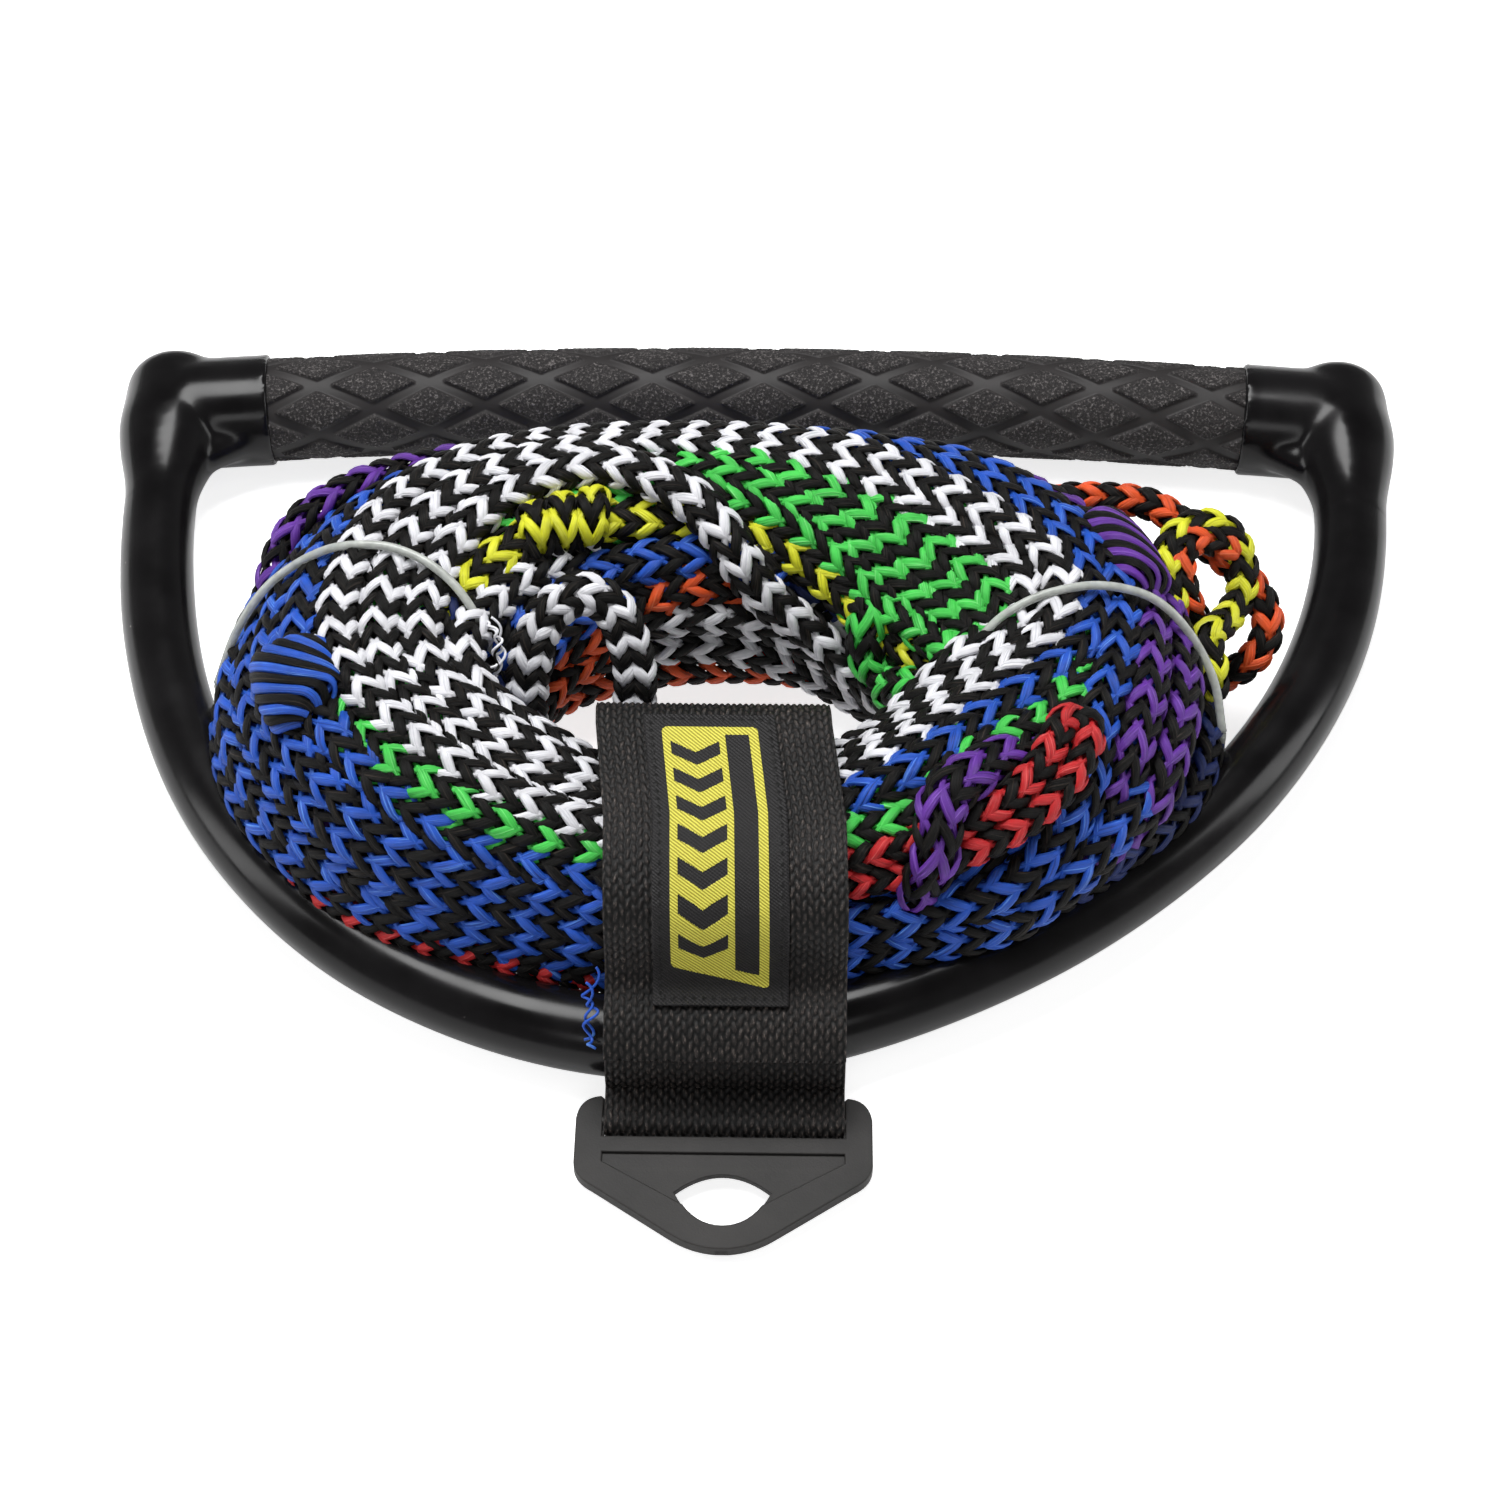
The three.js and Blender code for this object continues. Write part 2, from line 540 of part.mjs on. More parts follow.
/** The left-hand normals of a flat polyline, averaged at its corners. */
function normalsOf(line) {
  return line.map((_, i) => {
    const before = line[Math.max(i - 1, 0)];
    const after = line[Math.min(i + 1, line.length - 1)];
    const along = after.clone().sub(before).normalize();
    return flat(-along.y, along.x);
  });
}

/** A flat ribbon between two offsets of a polyline, extruded across the strap's width. */
function ribbon(line, lowOffset, highOffset, width) {
  const normals = normalsOf(line);
  const low = line.map((point, i) => point.clone().addScaledVector(normals[i], lowOffset));
  const high = line.map((point, i) => point.clone().addScaledVector(normals[i], highOffset));
  const shape = new THREE.Shape([...low, ...high.reverse()]);
  const geometry = new THREE.ExtrudeGeometry(shape, { depth: width, bevelEnabled: false });
  const standing = new THREE.Matrix4().makeBasis(vec(0, 1, 0), vec(0, 0, 1), vec(1, 0, 0));
  geometry.applyMatrix4(standing);
  geometry.translate(STRAP_X - width / 2, 0, 0);
  return geometry;
}

/** The stretch of a polyline between two lengths along it. */
function stretch(line, from, to) {
  const points = [];
  let travelled = 0;
  for (let i = 0; i + 1 < line.length; i += 1) {
    const length = line[i].distanceTo(line[i + 1]);
    const at = (distance) => line[i].clone().lerp(line[i + 1], (distance - travelled) / length);
    const reached = travelled + length;
    if (from >= travelled && from < reached) {
      points.push(at(from));
    }
    if (reached > from && reached < to) {
      points.push(line[i + 1].clone());
    }
    if (to > travelled && to <= reached) {
      points.push(at(to));
    }
    travelled = reached;
  }
  return points;
}

function makeStrap() {
  addPiece('strap_base', ribbon(baseLine, -HALF_WEB, HALF_WEB, STRAP_WIDTH), COLOURS.nylon, 0.9);
  addPiece('strap_flap', ribbon(flapLine, -HALF_WEB, HALF_WEB, STRAP_WIDTH), COLOURS.nylon, 0.9);

  const hookInner = TAB_RADIUS + HALF_WEB + GAP;
  const loopInner = hookInner + STRIP_THICKNESS + GAP;
  const tapes = [['hook_tape', hookInner, ARCS.hook], ['loop_tape', loopInner, ARCS.loop]];
  for (const [name, inner, arc] of tapes) {
    const tape = ribbon(aroundBow(inner, arc, 4), -STRIP_THICKNESS, 0, TAPE_WIDTH);
    addPiece(name, tape, COLOURS.hook, 0.95);
  }

  const patchLow = -HALF_WEB - GAP;
  const patchLine = stretch(flapLine, PATCH.start, PATCH.end);
  const patch = ribbon(patchLine, patchLow - PATCH.thickness, patchLow, PATCH.width);
  addPiece('label_patch', patch, COLOURS.label, 0.7);
}

// ---------------------------------------------------------------- hanger
const SLOT_HALF = STRAP_WIDTH / 2 + 0.7;
const SLOT_FRONT = HANGER.barY - WRAP_RADIUS - HALF_WEB - 2 * GAP;

/** The plate's outline: two arms beside the webbing, sloping shoulders and a blunt tip. */
function hangerOutline() {
  const { halfWidth, barY, armLength, tipY } = HANGER;
  const { straight, bendIn, bendDown, in: inward, down } = HANGER_SHOULDER;
  const backY = barY + armLength;
  const tipBack = tipY + HANGER_TIP.back;
  const outline = new THREE.Shape();
  outline.moveTo(-SLOT_HALF, backY);
  outline.lineTo(-halfWidth + HANGER_CORNER, backY);
  outline.quadraticCurveTo(-halfWidth, backY, -halfWidth, backY - HANGER_CORNER);
  outline.lineTo(-halfWidth, SLOT_FRONT - straight);
  outline.quadraticCurveTo(
    -halfWidth + bendIn, SLOT_FRONT - bendDown, -halfWidth + inward, SLOT_FRONT - down,
  );
  outline.lineTo(-HANGER_TIP.half, tipBack);
  outline.quadraticCurveTo(0, tipY - HANGER_TIP.past, HANGER_TIP.half, tipBack);
  outline.lineTo(halfWidth - inward, SLOT_FRONT - down);
  outline.quadraticCurveTo(halfWidth - bendIn, SLOT_FRONT - bendDown, halfWidth, SLOT_FRONT - straight);
  outline.lineTo(halfWidth, backY - HANGER_CORNER);
  outline.quadraticCurveTo(halfWidth, backY, halfWidth - HANGER_CORNER, backY);
  outline.lineTo(SLOT_HALF, backY);
  outline.lineTo(SLOT_HALF, SLOT_FRONT);
  outline.lineTo(-SLOT_HALF, SLOT_FRONT);
  return outline;
}

/** The hole that a hook passes through: flat-topped, drawn to a blunt point below. */
function hangerEye() {
  const { half, front, up, down, upBend, downBend } = HANGER_EYE;
  const y = SLOT_FRONT - front;
  const eye = new THREE.Path();
  eye.moveTo(-half, y);
  eye.quadraticCurveTo(-half * upBend, y + up, 0, y + up);
  eye.quadraticCurveTo(half * upBend, y + up, half, y);
  eye.quadraticCurveTo(half * downBend, y - down, 0, y - down);
  eye.quadraticCurveTo(-half * downBend, y - down, -half, y);
  return eye;
}

/** The moulded hanger: the flat plate joined to the round bar that the webbing wraps. */
function makeHanger() {
  const { thickness, barY, barZ } = HANGER;
  const outline = hangerOutline();
  outline.holes.push(hangerEye());
  const options = { depth: thickness, bevelEnabled: false, curveSegments: 6 };
  const plate = new THREE.ExtrudeGeometry(outline, options);
  plate.translate(STRAP_X, 0, barZ - thickness / 2);
  const barHalf = SLOT_HALF + 1;      // the bar's ends are buried in the two arms
  const barLine = [vec(STRAP_X - barHalf, barY, barZ), vec(STRAP_X + barHalf, barY, barZ)];
  const bar = sweep(barLine, roundOutline(BAR_RADIUS, SIDES.bar));
  addPiece('hanger', joinAndCut([plate, bar], []), COLOURS.charcoal, 0.55);
}

// ---------------------------------------------------------------- the whole handle
makeGripBar();
makeBow();
makeBoot('left_end_boot', -1, bowHalves.left);
makeBoot('right_end_boot', 1, bowHalves.right);
makeLine();
makeLoops();
makeBoatEndLoop();
makeTie('left_tie', 0.665, MIDDLE_TOP + 4);
makeTie('right_tie', 0.275, MIDDLE_TOP + 8);
makeStrap();
makeHanger();

const part = new THREE.Group();
part.add(handle);
const footprint = new THREE.Box3().setFromObject(handle).getCenter(vec(0, 0, 0));
handle.position.set(-footprint.x, -footprint.y, 0);

export default part;
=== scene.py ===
"""Looks of a tow rope handle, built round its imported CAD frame.

Lengths are millimetres in the drawing's own axes: x from the middle of the bar, y from the bar's chord
and z from the floor. to_frame() turns them into the frame's metres.
The coil is a ring of rope passes. A place on it is (turn, lane, lift): turn 0 is the front, .25 the right,
.5 the back and .75 the left; lane 0 is the foot of the hole's wall, about 6 the crown and 14 the foot of
the outer wall; lift is the height over the ring's skin.
"""
import math

import bmesh
import bpy
import numpy as np
from mathutils import Matrix, Vector


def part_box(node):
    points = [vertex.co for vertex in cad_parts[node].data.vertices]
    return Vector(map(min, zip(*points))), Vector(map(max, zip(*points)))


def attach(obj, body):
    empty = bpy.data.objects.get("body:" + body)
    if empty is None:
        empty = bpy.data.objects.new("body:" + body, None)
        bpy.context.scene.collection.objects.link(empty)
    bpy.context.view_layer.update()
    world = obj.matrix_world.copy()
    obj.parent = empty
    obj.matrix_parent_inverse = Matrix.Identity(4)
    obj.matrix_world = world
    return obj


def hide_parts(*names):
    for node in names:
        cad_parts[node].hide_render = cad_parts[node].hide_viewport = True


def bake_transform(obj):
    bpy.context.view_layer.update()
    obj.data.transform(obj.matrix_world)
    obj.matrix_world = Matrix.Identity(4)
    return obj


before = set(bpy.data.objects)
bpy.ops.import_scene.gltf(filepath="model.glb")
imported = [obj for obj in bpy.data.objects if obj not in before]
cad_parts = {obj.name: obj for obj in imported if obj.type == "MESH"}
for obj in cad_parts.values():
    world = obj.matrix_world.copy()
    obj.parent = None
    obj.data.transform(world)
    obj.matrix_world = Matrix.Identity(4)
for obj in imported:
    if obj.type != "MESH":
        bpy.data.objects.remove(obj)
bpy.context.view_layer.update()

MM = 0.001
SEED = 7

# ------------------------------------------------------------------ driving dimensions, as in the CAD
GRIP_SAGITTA = 8
GRIP_AXIS_Z = 14
TUBE_RADIUS = 10
BOW_RADIUS = 8.75
BOW_HALF_WIDTH = 146.7
BOW_DEPTH = 187.5
BOW_APEX = (-14, -BOW_DEPTH, 11.4)
BOW_LEFT = {"flare": 0.03, "leg_pull": 151, "apex_pull": 50}
BOW_RIGHT = {"flare": 0.08, "leg_pull": 129, "apex_pull": 50}
BOW_END_Y = 6
BOW_RIPPLE = 0.05                   # unevenness of the dipped skin
GRIP_RADIUS = 13
GRIP_HALF_LENGTH = 126
BOOT = {"bulb": 13.3, "neck": 8.85, "collar": 14, "mouth": 122.5, "neck_length": 38,
        "dome_length": 16.5, "dome": 9, "narrows_from": 0.12, "narrows_over": 0.7, "voxel": 0.75,
        "lip": 2.2}
SMOOTHING = {"rounds": 16, "pull": 0.5, "last_pull": 0.4}   # of the boots' remeshed skin
WEB = {"reach": 31, "narrowing": 19, "half_height": 5.2}   # in the boot's inside corner
STRAP_WIDTH = 50.8
STRAP_BOW_Y = -185                  # the bow's mean centre line under the strap
TAB_RADIUS = 12.35
FLAP_RADIUS = 16.85
HANGER = {"x": -4, "half_width": 31.4, "bar_y": -203.4, "bar_z": 3.6, "back_y": -197.5, "tip_y": -235.2}

tube_low, tube_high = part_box("handle_tube")
ORIGIN = np.array([
    (tube_low.x + tube_high.x) / 2,
    tube_high.y - (GRIP_SAGITTA + TUBE_RADIUS) * MM,
    0,
])


def to_frame(points):
    """Drawing millimetres to frame metres."""
    return np.asarray(points, float) * MM + ORIGIN


# ------------------------------------------------------------------ curves
def catmull(points, per_span=10):
    """A smooth curve through rows of numbers."""
    p = np.asarray(points, float)
    p = np.vstack([2 * p[0] - p[1], p, 2 * p[-1] - p[-2]])
    t = np.linspace(0, 1, per_span, endpoint=False)[:, None]
    spans = []
    for a, b, c, d in zip(p, p[1:], p[2:], p[3:]):
        bend = 2 * a - 5 * b + 4 * c - d
        twist = 3 * b - a - 3 * c + d
        spans.append(0.5 * (2 * b + (c - a) * t + bend * t * t + twist * t ** 3))
    return np.vstack(spans + [p[-2:-1]])


def bezier(a, b, c, d, steps):
    t = np.linspace(0, 1, steps)[:, None]
    a, b, c, d = (np.asarray(p, float) for p in (a, b, c, d))
    return a * (1 - t) ** 3 + 3 * b * t * (1 - t) ** 2 + 3 * c * t * t * (1 - t) + d * t ** 3


def lengths(points):
    steps = np.linalg.norm(np.diff(points, axis=0), axis=1)
    return np.concatenate([[0], np.cumsum(steps)])


def resample(points, step, *others):
    """Even steps along a curve of points, with other columns carried along."""
    travelled = lengths(points)
    count = max(int(round(travelled[-1] / step)), 2)
    at = np.linspace(0, travelled[-1], count + 1)
    return [
        np.column_stack([np.interp(at, travelled, column) for column in np.asarray(rows, float).T])
        for rows in (points, *others)
    ]


def unit(rows):
    return rows / np.maximum(np.linalg.norm(rows, axis=-1, keepdims=True), 1e-9)


def frames_along(points, up):
    """Unit tangent, side and up rows along a curve, with up kept near the given rows."""
    tangent = unit(np.gradient(points, axis=0))
    side = unit(np.cross(tangent, up))
    return tangent, side, np.cross(side, tangent)


# ------------------------------------------------------------------ meshes
UV_NAME = "OFBake"


def place_object(name, data):
    """A new object in the scene."""
    obj = bpy.data.objects.new(name, data)
    bpy.context.scene.collection.objects.link(obj)
    return obj


def make_mesh(name, points, faces, uv=None, values=None):
    """A mesh object from drawing points and equal-sided faces; uv is per corner."""
    points = to_frame(points.reshape(-1, 3))
    faces = np.asarray(faces, np.int32)
    mesh = bpy.data.meshes.new(name)
    mesh.vertices.add(len(points))
    mesh.vertices.foreach_set("co", points.astype(np.float32).ravel())
    mesh.loops.add(faces.size)
    mesh.loops.foreach_set("vertex_index", faces.ravel())
    mesh.polygons.add(len(faces))
    starts = np.arange(0, faces.size, faces.shape[1], dtype=np.int32)
    mesh.polygons.foreach_set("loop_start", starts)
    mesh.polygons.foreach_set("use_smooth", np.ones(len(faces), bool))
    if uv is not None:
        layer = mesh.uv_layers.new(name=UV_NAME)
        layer.data.foreach_set("uv", np.asarray(uv, np.float32).ravel())
    for key, rows in (values or {}).items():
        attribute = mesh.attributes.new(key, "FLOAT", "POINT")
        attribute.data.foreach_set("value", np.asarray(rows, np.float32).ravel())
    mesh.update(calc_edges=True)
    mesh.validate()
    return place_object(name, mesh)


def finish_piece(obj, material, body, replaced=()):
    """Gives a piece its material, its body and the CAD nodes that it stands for."""
    obj.data.materials.clear()
    obj.data.materials.append(material)
    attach(obj, body)
    if replaced:
        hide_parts(*replaced)


def grid_faces(rows, columns, wrap_rows=False, wrap_columns=False):
    """Quads over a grid of rows x columns vertices."""
    r = np.arange(rows if wrap_rows else rows - 1)[:, None]
    c = np.arange(columns if wrap_columns else columns - 1)[None, :]
    next_r = (r + 1) % rows
    next_c = (c + 1) % columns
    corners = [r * columns + c, r * columns + next_c, next_r * columns + next_c, next_r * columns + c]
    return np.stack([np.broadcast_to(k, (r.size, c.size)) for k in corners], -1).reshape(-1, 4)


def grid_uv(rows, columns, low=(0.0, 0.0), high=(1.0, 1.0)):
    """Corner uv for grid_faces with every cell its own patch; a wrapped grid passes one more of each."""
    r = np.arange(rows - 1)[:, None]
    c = np.arange(columns - 1)[None, :]
    du = (high[0] - low[0]) / (rows - 1)
    dv = (high[1] - low[1]) / (columns - 1)
    corners = [(r, c), (r, c + 1), (r + 1, c + 1), (r + 1, c)]
    shape = (rows - 1, columns - 1)
    return np.stack([
        np.stack([np.broadcast_to(low[0] + a * du, shape), np.broadcast_to(low[1] + b * dv, shape)], -1)
        for a, b in corners
    ], 2).reshape(-1, 2)


# ------------------------------------------------------------------ materials
class Recipe:
    """A node material: base colour, roughness and bump worked out from procedural nodes."""

    def __init__(self, name, roughness=0.5, specular=0.5):
        self.material = bpy.data.materials.new(name)
        self.material.use_nodes = True
        self.tree = self.material.node_tree
        self.shader = self.tree.nodes["Principled BSDF"]
        self.shader.inputs["Roughness"].default_value = roughness
        self.shader.inputs["Specular IOR Level"].default_value = specular

    def node(self, kind, settings=None, **inputs):
        made = self.tree.nodes.new("ShaderNode" + kind)
        for key, value in (settings or {}).items():
            setattr(made, key, value)
        for key, value in inputs.items():
            self.feed(made.inputs[int(key[1:])] if key[0] == "i" else made.inputs[key], value)
        return made

    def feed(self, socket, value):
        if isinstance(value, bpy.types.NodeSocket):
            self.tree.links.new(value, socket)
        else:
            socket.default_value = value

    def object_point(self):
        return self.node("TexCoord").outputs["Object"]

    def stretched(self, point, scale):
        mapped = self.node("Mapping", {"vector_type": "POINT"}, i0=point)
        mapped.inputs["Scale"].default_value = scale
        return mapped.outputs[0]

    def noise(self, point, scale, detail=3.0, rough=0.55):
        made = self.node("TexNoise", None, Vector=point, Scale=scale, Detail=detail, Roughness=rough)
        return made.outputs[0]

    def maths(self, operation, a, b):
        return self.node("Math", {"operation": operation}, i0=a, i1=b).outputs[0]

    def attribute(self, name):
        """A value that the mesh carries at each of its points."""
        return self.node("Attribute", {"attribute_name": name}).outputs["Fac"]

    def remap(self, value, *limits):
        """The value carried from one range to another: from low, from high, to low, to high."""
        made = self.node("MapRange", None, i0=value)
        for k, limit in enumerate(limits, 1):
            made.inputs[k].default_value = limit
        return made.outputs[0]

    def linear_ramp(self, value, stops):
        made = self.node("ValToRGB", None, i0=value)
        elements = made.color_ramp.elements
        while len(elements) < len(stops):
            elements.new(0.5)
        for element, (place, colour) in zip(elements, stops):
            element.position = place
            element.color = colour
        return made.outputs[0]

    def ramp(self, value, *stops):
        """A ramp of 8-bit screen colours, each with its place."""
        return self.linear_ramp(value, [(place, paint(*colour)) for place, colour in stops])

    def levels(self, value, *stops):
        """A ramp of plain greys in linear light, each with its place."""
        return self.linear_ramp(value, [(place, (grey, grey, grey, 1)) for place, grey in stops])

    def blend(self, share, a, b):
        mixed = self.node("Mix", {"data_type": "RGBA"})
        self.feed(mixed.inputs[0], share)
        self.feed(mixed.inputs[6], a)
        self.feed(mixed.inputs[7], b)
        return mixed.outputs[2]

    def times(self, a, b):
        mixed = self.node("Mix", {"data_type": "RGBA", "blend_type": "MULTIPLY"})
        mixed.inputs[0].default_value = 1.0
        self.feed(mixed.inputs[6], a)
        self.feed(mixed.inputs[7], b)
        return mixed.outputs[2]

    def colour(self, value):
        self.feed(self.shader.inputs["Base Color"], value)

    def roughness(self, value):
        self.feed(self.shader.inputs["Roughness"], value)

    def bump(self, height, depth_mm, strength=1.0):
        made = self.node("Bump", None, Height=height, Distance=depth_mm * MM, Strength=strength)
        self.tree.links.new(made.outputs[0], self.shader.inputs["Normal"])


def paint(*screen):
    """An 8-bit screen colour as linear light, opaque."""
    return (*(((c / 255 + 0.055) / 1.055) ** 2.4 if c > 10 else c / 255 / 12.92 for c in screen), 1)


def yarn_material(name, dark, mid, light, roughness, specular):
    """Twisted film yarn: fibres run along it, some catching the light."""
    recipe = Recipe(name, roughness, specular)
    along = recipe.attribute("along")
    across = recipe.attribute("across")
    place = recipe.node("CombineXYZ", None, i0=along, i1=across).outputs[0]
    fibres = recipe.noise(recipe.stretched(place, (0.07, 2.4, 1)), 1.0, 4.0, 0.65)
    shade = recipe.ramp(fibres, (0.30, dark), (0.45, mid), (0.56, mid), (0.70, light))
    patches = recipe.noise(recipe.object_point(), 160.0, 2.0)
    tone = recipe.levels(patches, (0.3, 0.78), (0.7, 1.12))
    recipe.colour(recipe.times(shade, tone))
    recipe.bump(fibres, 0.6, 0.9)
    return recipe.material


YARN_COLOURS = {
    "white": ((186, 187, 196), (240, 240, 245), (253, 253, 254)),
    "blue": ((10, 34, 104), (32, 86, 196), (112, 168, 248)),
    "navy": ((10, 20, 52), (18, 36, 92), (40, 66, 140)),
    "green": ((40, 140, 50), (72, 212, 84), (150, 245, 150)),
    "yellow": ((170, 166, 20), (226, 228, 44), (248, 250, 120)),
    "orange": ((170, 50, 16), (236, 88, 36), (255, 140, 90)),
    "red": ((130, 18, 20), (206, 40, 44), (244, 108, 105)),
    "purple": ((52, 22, 92), (100, 48, 156), (150, 100, 205)),
}
BLACK_YARN = ((4, 4, 4), (13, 12, 11), (64, 56, 50))


def make_yarn_materials():
    made = {}
    for name, shades in YARN_COLOURS.items():
        made[name] = yarn_material("yarn_" + name, *shades, 0.45, 0.4)
    made["black"] = yarn_material("yarn_black", *BLACK_YARN, 0.5, 0.18)
    return made


def vinyl_material():
    """Glossy dipped vinyl with a soft orange peel and a few specks of dust."""
    recipe = Recipe("black_vinyl", 0.12, 0.25)
    point = recipe.object_point()
    cells = recipe.node("TexVoronoi", {"feature": "F1"}, Vector=point, Scale=95.0).outputs["Distance"]
    fine = recipe.noise(point, 700.0, 2.0)
    in_cell, in_patch = recipe.maths("LESS_THAN", cells, 0.022), recipe.maths("GREATER_THAN", fine, 0.5)
    speck = recipe.maths("MULTIPLY", in_cell, in_patch)
    cloudy = recipe.noise(point, 60.0, 3.0)
    body = recipe.ramp(cloudy, (0.35, (12, 11, 12)), (0.65, (19, 18, 19)))
    recipe.colour(recipe.blend(speck, body, paint(150, 145, 140)))
    rough = recipe.remap(cloudy, 0.3, 0.7, 0.17, 0.27)
    recipe.roughness(rough)
    peel = recipe.noise(point, 220.0, 1.0)
    recipe.bump(peel, 0.02, 0.5)
    return recipe.material


def grip_material():
    """Moulded rubber: smooth channels, stippled pads with pale specks painted on as glints on the stipple's
    tips.
    """
    recipe = Recipe("grip_rubber", 0.6, 0.35)
    point = recipe.object_point()
    pad = recipe.attribute("pad")
    grain = recipe.noise(point, 1500.0, 3.0, 0.7)
    cloudy = recipe.noise(point, 110.0, 3.0)
    smooth = recipe.ramp(cloudy, (0.3, (34, 32, 32)), (0.7, (44, 41, 41)))
    # painted highlight: the palest stop puts glints on the stipple's tips over the pads' dark rubber
    pad_tone_and_glints = recipe.ramp(grain, (0.42, (33, 31, 31)), (0.56, (52, 49, 49)), (0.66, (112, 108, 107)))
    recipe.colour(recipe.blend(pad, smooth, pad_tone_and_glints))
    rough = recipe.remap(pad, 0.0, 1.0, 0.55, 0.75)
    recipe.roughness(rough)
    recipe.bump(recipe.maths("MULTIPLY", grain, pad), 0.5, 0.9)
    return recipe.material


def webbing_material():
    """Black polyester webbing: dark yarns with painted brownish highlights on the knuckles' fibres, and
    painted shade, near black, in the gaps between the knuckles.
    """
    recipe = Recipe("webbing", 0.55, 0.3)
    point = recipe.object_point()
    fibres = recipe.noise(recipe.stretched(point, (2600, 700, 1200)), 1.0, 3.0, 0.65)
    cloudy = recipe.noise(point, 120.0, 2.0)
    height = recipe.attribute("height")
    shade = recipe.ramp(fibres, (0.35, (22, 20, 19)), (0.55, (46, 41, 39)), (0.74, (110, 100, 94)))
    tone = recipe.levels(cloudy, (0.3, 0.75), (0.7, 1.2))
    # painted shade: the gaps between the knuckles go near black, and the crests keep the yarn's colour
    crest_out_of_painted_shade = recipe.remap(height, -0.2, 0.14, 0.0, 1.0)
    recipe.colour(recipe.blend(crest_out_of_painted_shade, paint(3, 3, 3), recipe.times(shade, tone)))
    recipe.bump(fibres, 0.2, 0.7)
    return recipe.material


def tape_material(name, scale, light):
    """Hook or loop tape: black nylon with lighter tips."""
    recipe = Recipe(name, 0.6, 0.3)
    point = recipe.object_point()
    tips = recipe.noise(point, scale, 3.0, 0.7)
    recipe.colour(recipe.ramp(tips, (0.4, (14, 14, 15)), (0.6, (34, 34, 36)), (0.75, light)))
    recipe.bump(tips, 0.3, 0.8)
    return recipe.material


def label_material():
    """Woven label: yellow figure on black twill, with a fine diagonal rib and glossy black stitches."""
    recipe = Recipe("label", 0.55, 0.3)
    point = recipe.object_point()
    zone = recipe.attribute("zone")
    seam = recipe.attribute("seam")
    rib = recipe.node("TexWave", {"wave_type": "BANDS", "bands_direction": "DIAGONAL"},
                      Vector=point, Scale=640.0, Distortion=1.0, Detail=2.0).outputs["Fac"]
    black = recipe.ramp(rib, (0.2, (14, 13, 14)), (0.8, (36, 34, 35)))
    yellow = recipe.ramp(rib, (0.1, (150, 142, 40)), (0.5, (205, 196, 66)), (0.9, (226, 219, 96)))
    woven = recipe.blend(recipe.maths("GREATER_THAN", zone, 0.5), black, yellow)
    recipe.colour(recipe.blend(seam, woven, paint(5, 5, 5)))
    recipe.bump(rib, 0.12, 0.8)
    return recipe.material


def hanger_material():
    """Matte glass-filled nylon: charcoal, finely spark-eroded, with a paler painted highlight along its
    sharp edges.
    """
    recipe = Recipe("hanger_plastic", 0.55, 0.3)
    point = recipe.object_point()
    grain = recipe.noise(point, 1800.0, 2.0, 0.7)
    cloudy = recipe.noise(point, 55.0, 4.0)
    body = recipe.ramp(cloudy, (0.3, (33, 32, 31)), (0.7, (46, 44, 43)))
    edge = recipe.node("NewGeometry").outputs["Pointiness"]
    # painted highlight: sharp edges are painted paler, where they would catch the light
    edge_highlight_share = recipe.remap(edge, 0.52, 0.6, 0.0, 0.6)
    recipe.colour(recipe.blend(edge_highlight_share, body, paint(104, 100, 96)))
    recipe.bump(grain, 0.08, 0.7)
    return recipe.material


def tie_material():
    """Clear vinyl tube, slightly milky, with flow lines along it."""
    recipe = Recipe("clear_tie", 0.18, 0.5)
    point = recipe.object_point()
    haze = recipe.noise(point, 400.0, 2.0)
    recipe.colour(recipe.ramp(haze, (0.3, (186, 190, 184)), (0.7, (222, 226, 220))))
    recipe.shader.inputs["Transmission Weight"].default_value = 0.35
    recipe.shader.inputs["IOR"].default_value = 1.45
    recipe.bump(haze, 0.05, 0.4)
    return recipe.material


# These pieces inside the bar and the bow show only when the handle is taken apart.
def tube_material():
    tube = Recipe("brushed_aluminium", 0.3)
    tube.shader.inputs["Metallic"].default_value = 1.0
    scratches = tube.noise(tube.stretched(tube.object_point(), (40, 2400, 2400)), 1.0, 3.0)
    tube.colour(tube.ramp(scratches, (0.3, (150, 152, 156)), (0.7, (202, 204, 208))))
    tube.bump(scratches, 0.05, 0.5)
    return tube.material


def foam_material():
    foam = Recipe("closed_cell_foam", 0.9, 0.2)
    cells = foam.node("TexVoronoi", None, Vector=foam.object_point(), Scale=900.0).outputs["Distance"]
    foam.colour(foam.ramp(cells, (0.0, (188, 182, 166)), (0.5, (226, 221, 206))))
    foam.bump(cells, 0.3, 0.7)
    return foam.material


def plug_material():
    plug = Recipe("nylon_plug", 0.45, 0.4)
    flow = plug.noise(plug.object_point(), 300.0, 3.0)
    plug.colour(plug.ramp(flow, (0.3, (20, 20, 21)), (0.7, (34, 34, 35))))
    plug.bump(flow, 0.1, 0.5)
    return plug.material


def core_material():
    core = Recipe("core_rope", 0.7, 0.3)
    strands = core.noise(core.stretched(core.object_point(), (500, 500, 1400)), 1.0, 3.0)
    core.colour(core.ramp(strands, (0.35, (96, 96, 92)), (0.65, (168, 168, 160))))
    core.bump(strands, 0.4, 0.8)
    return core.material


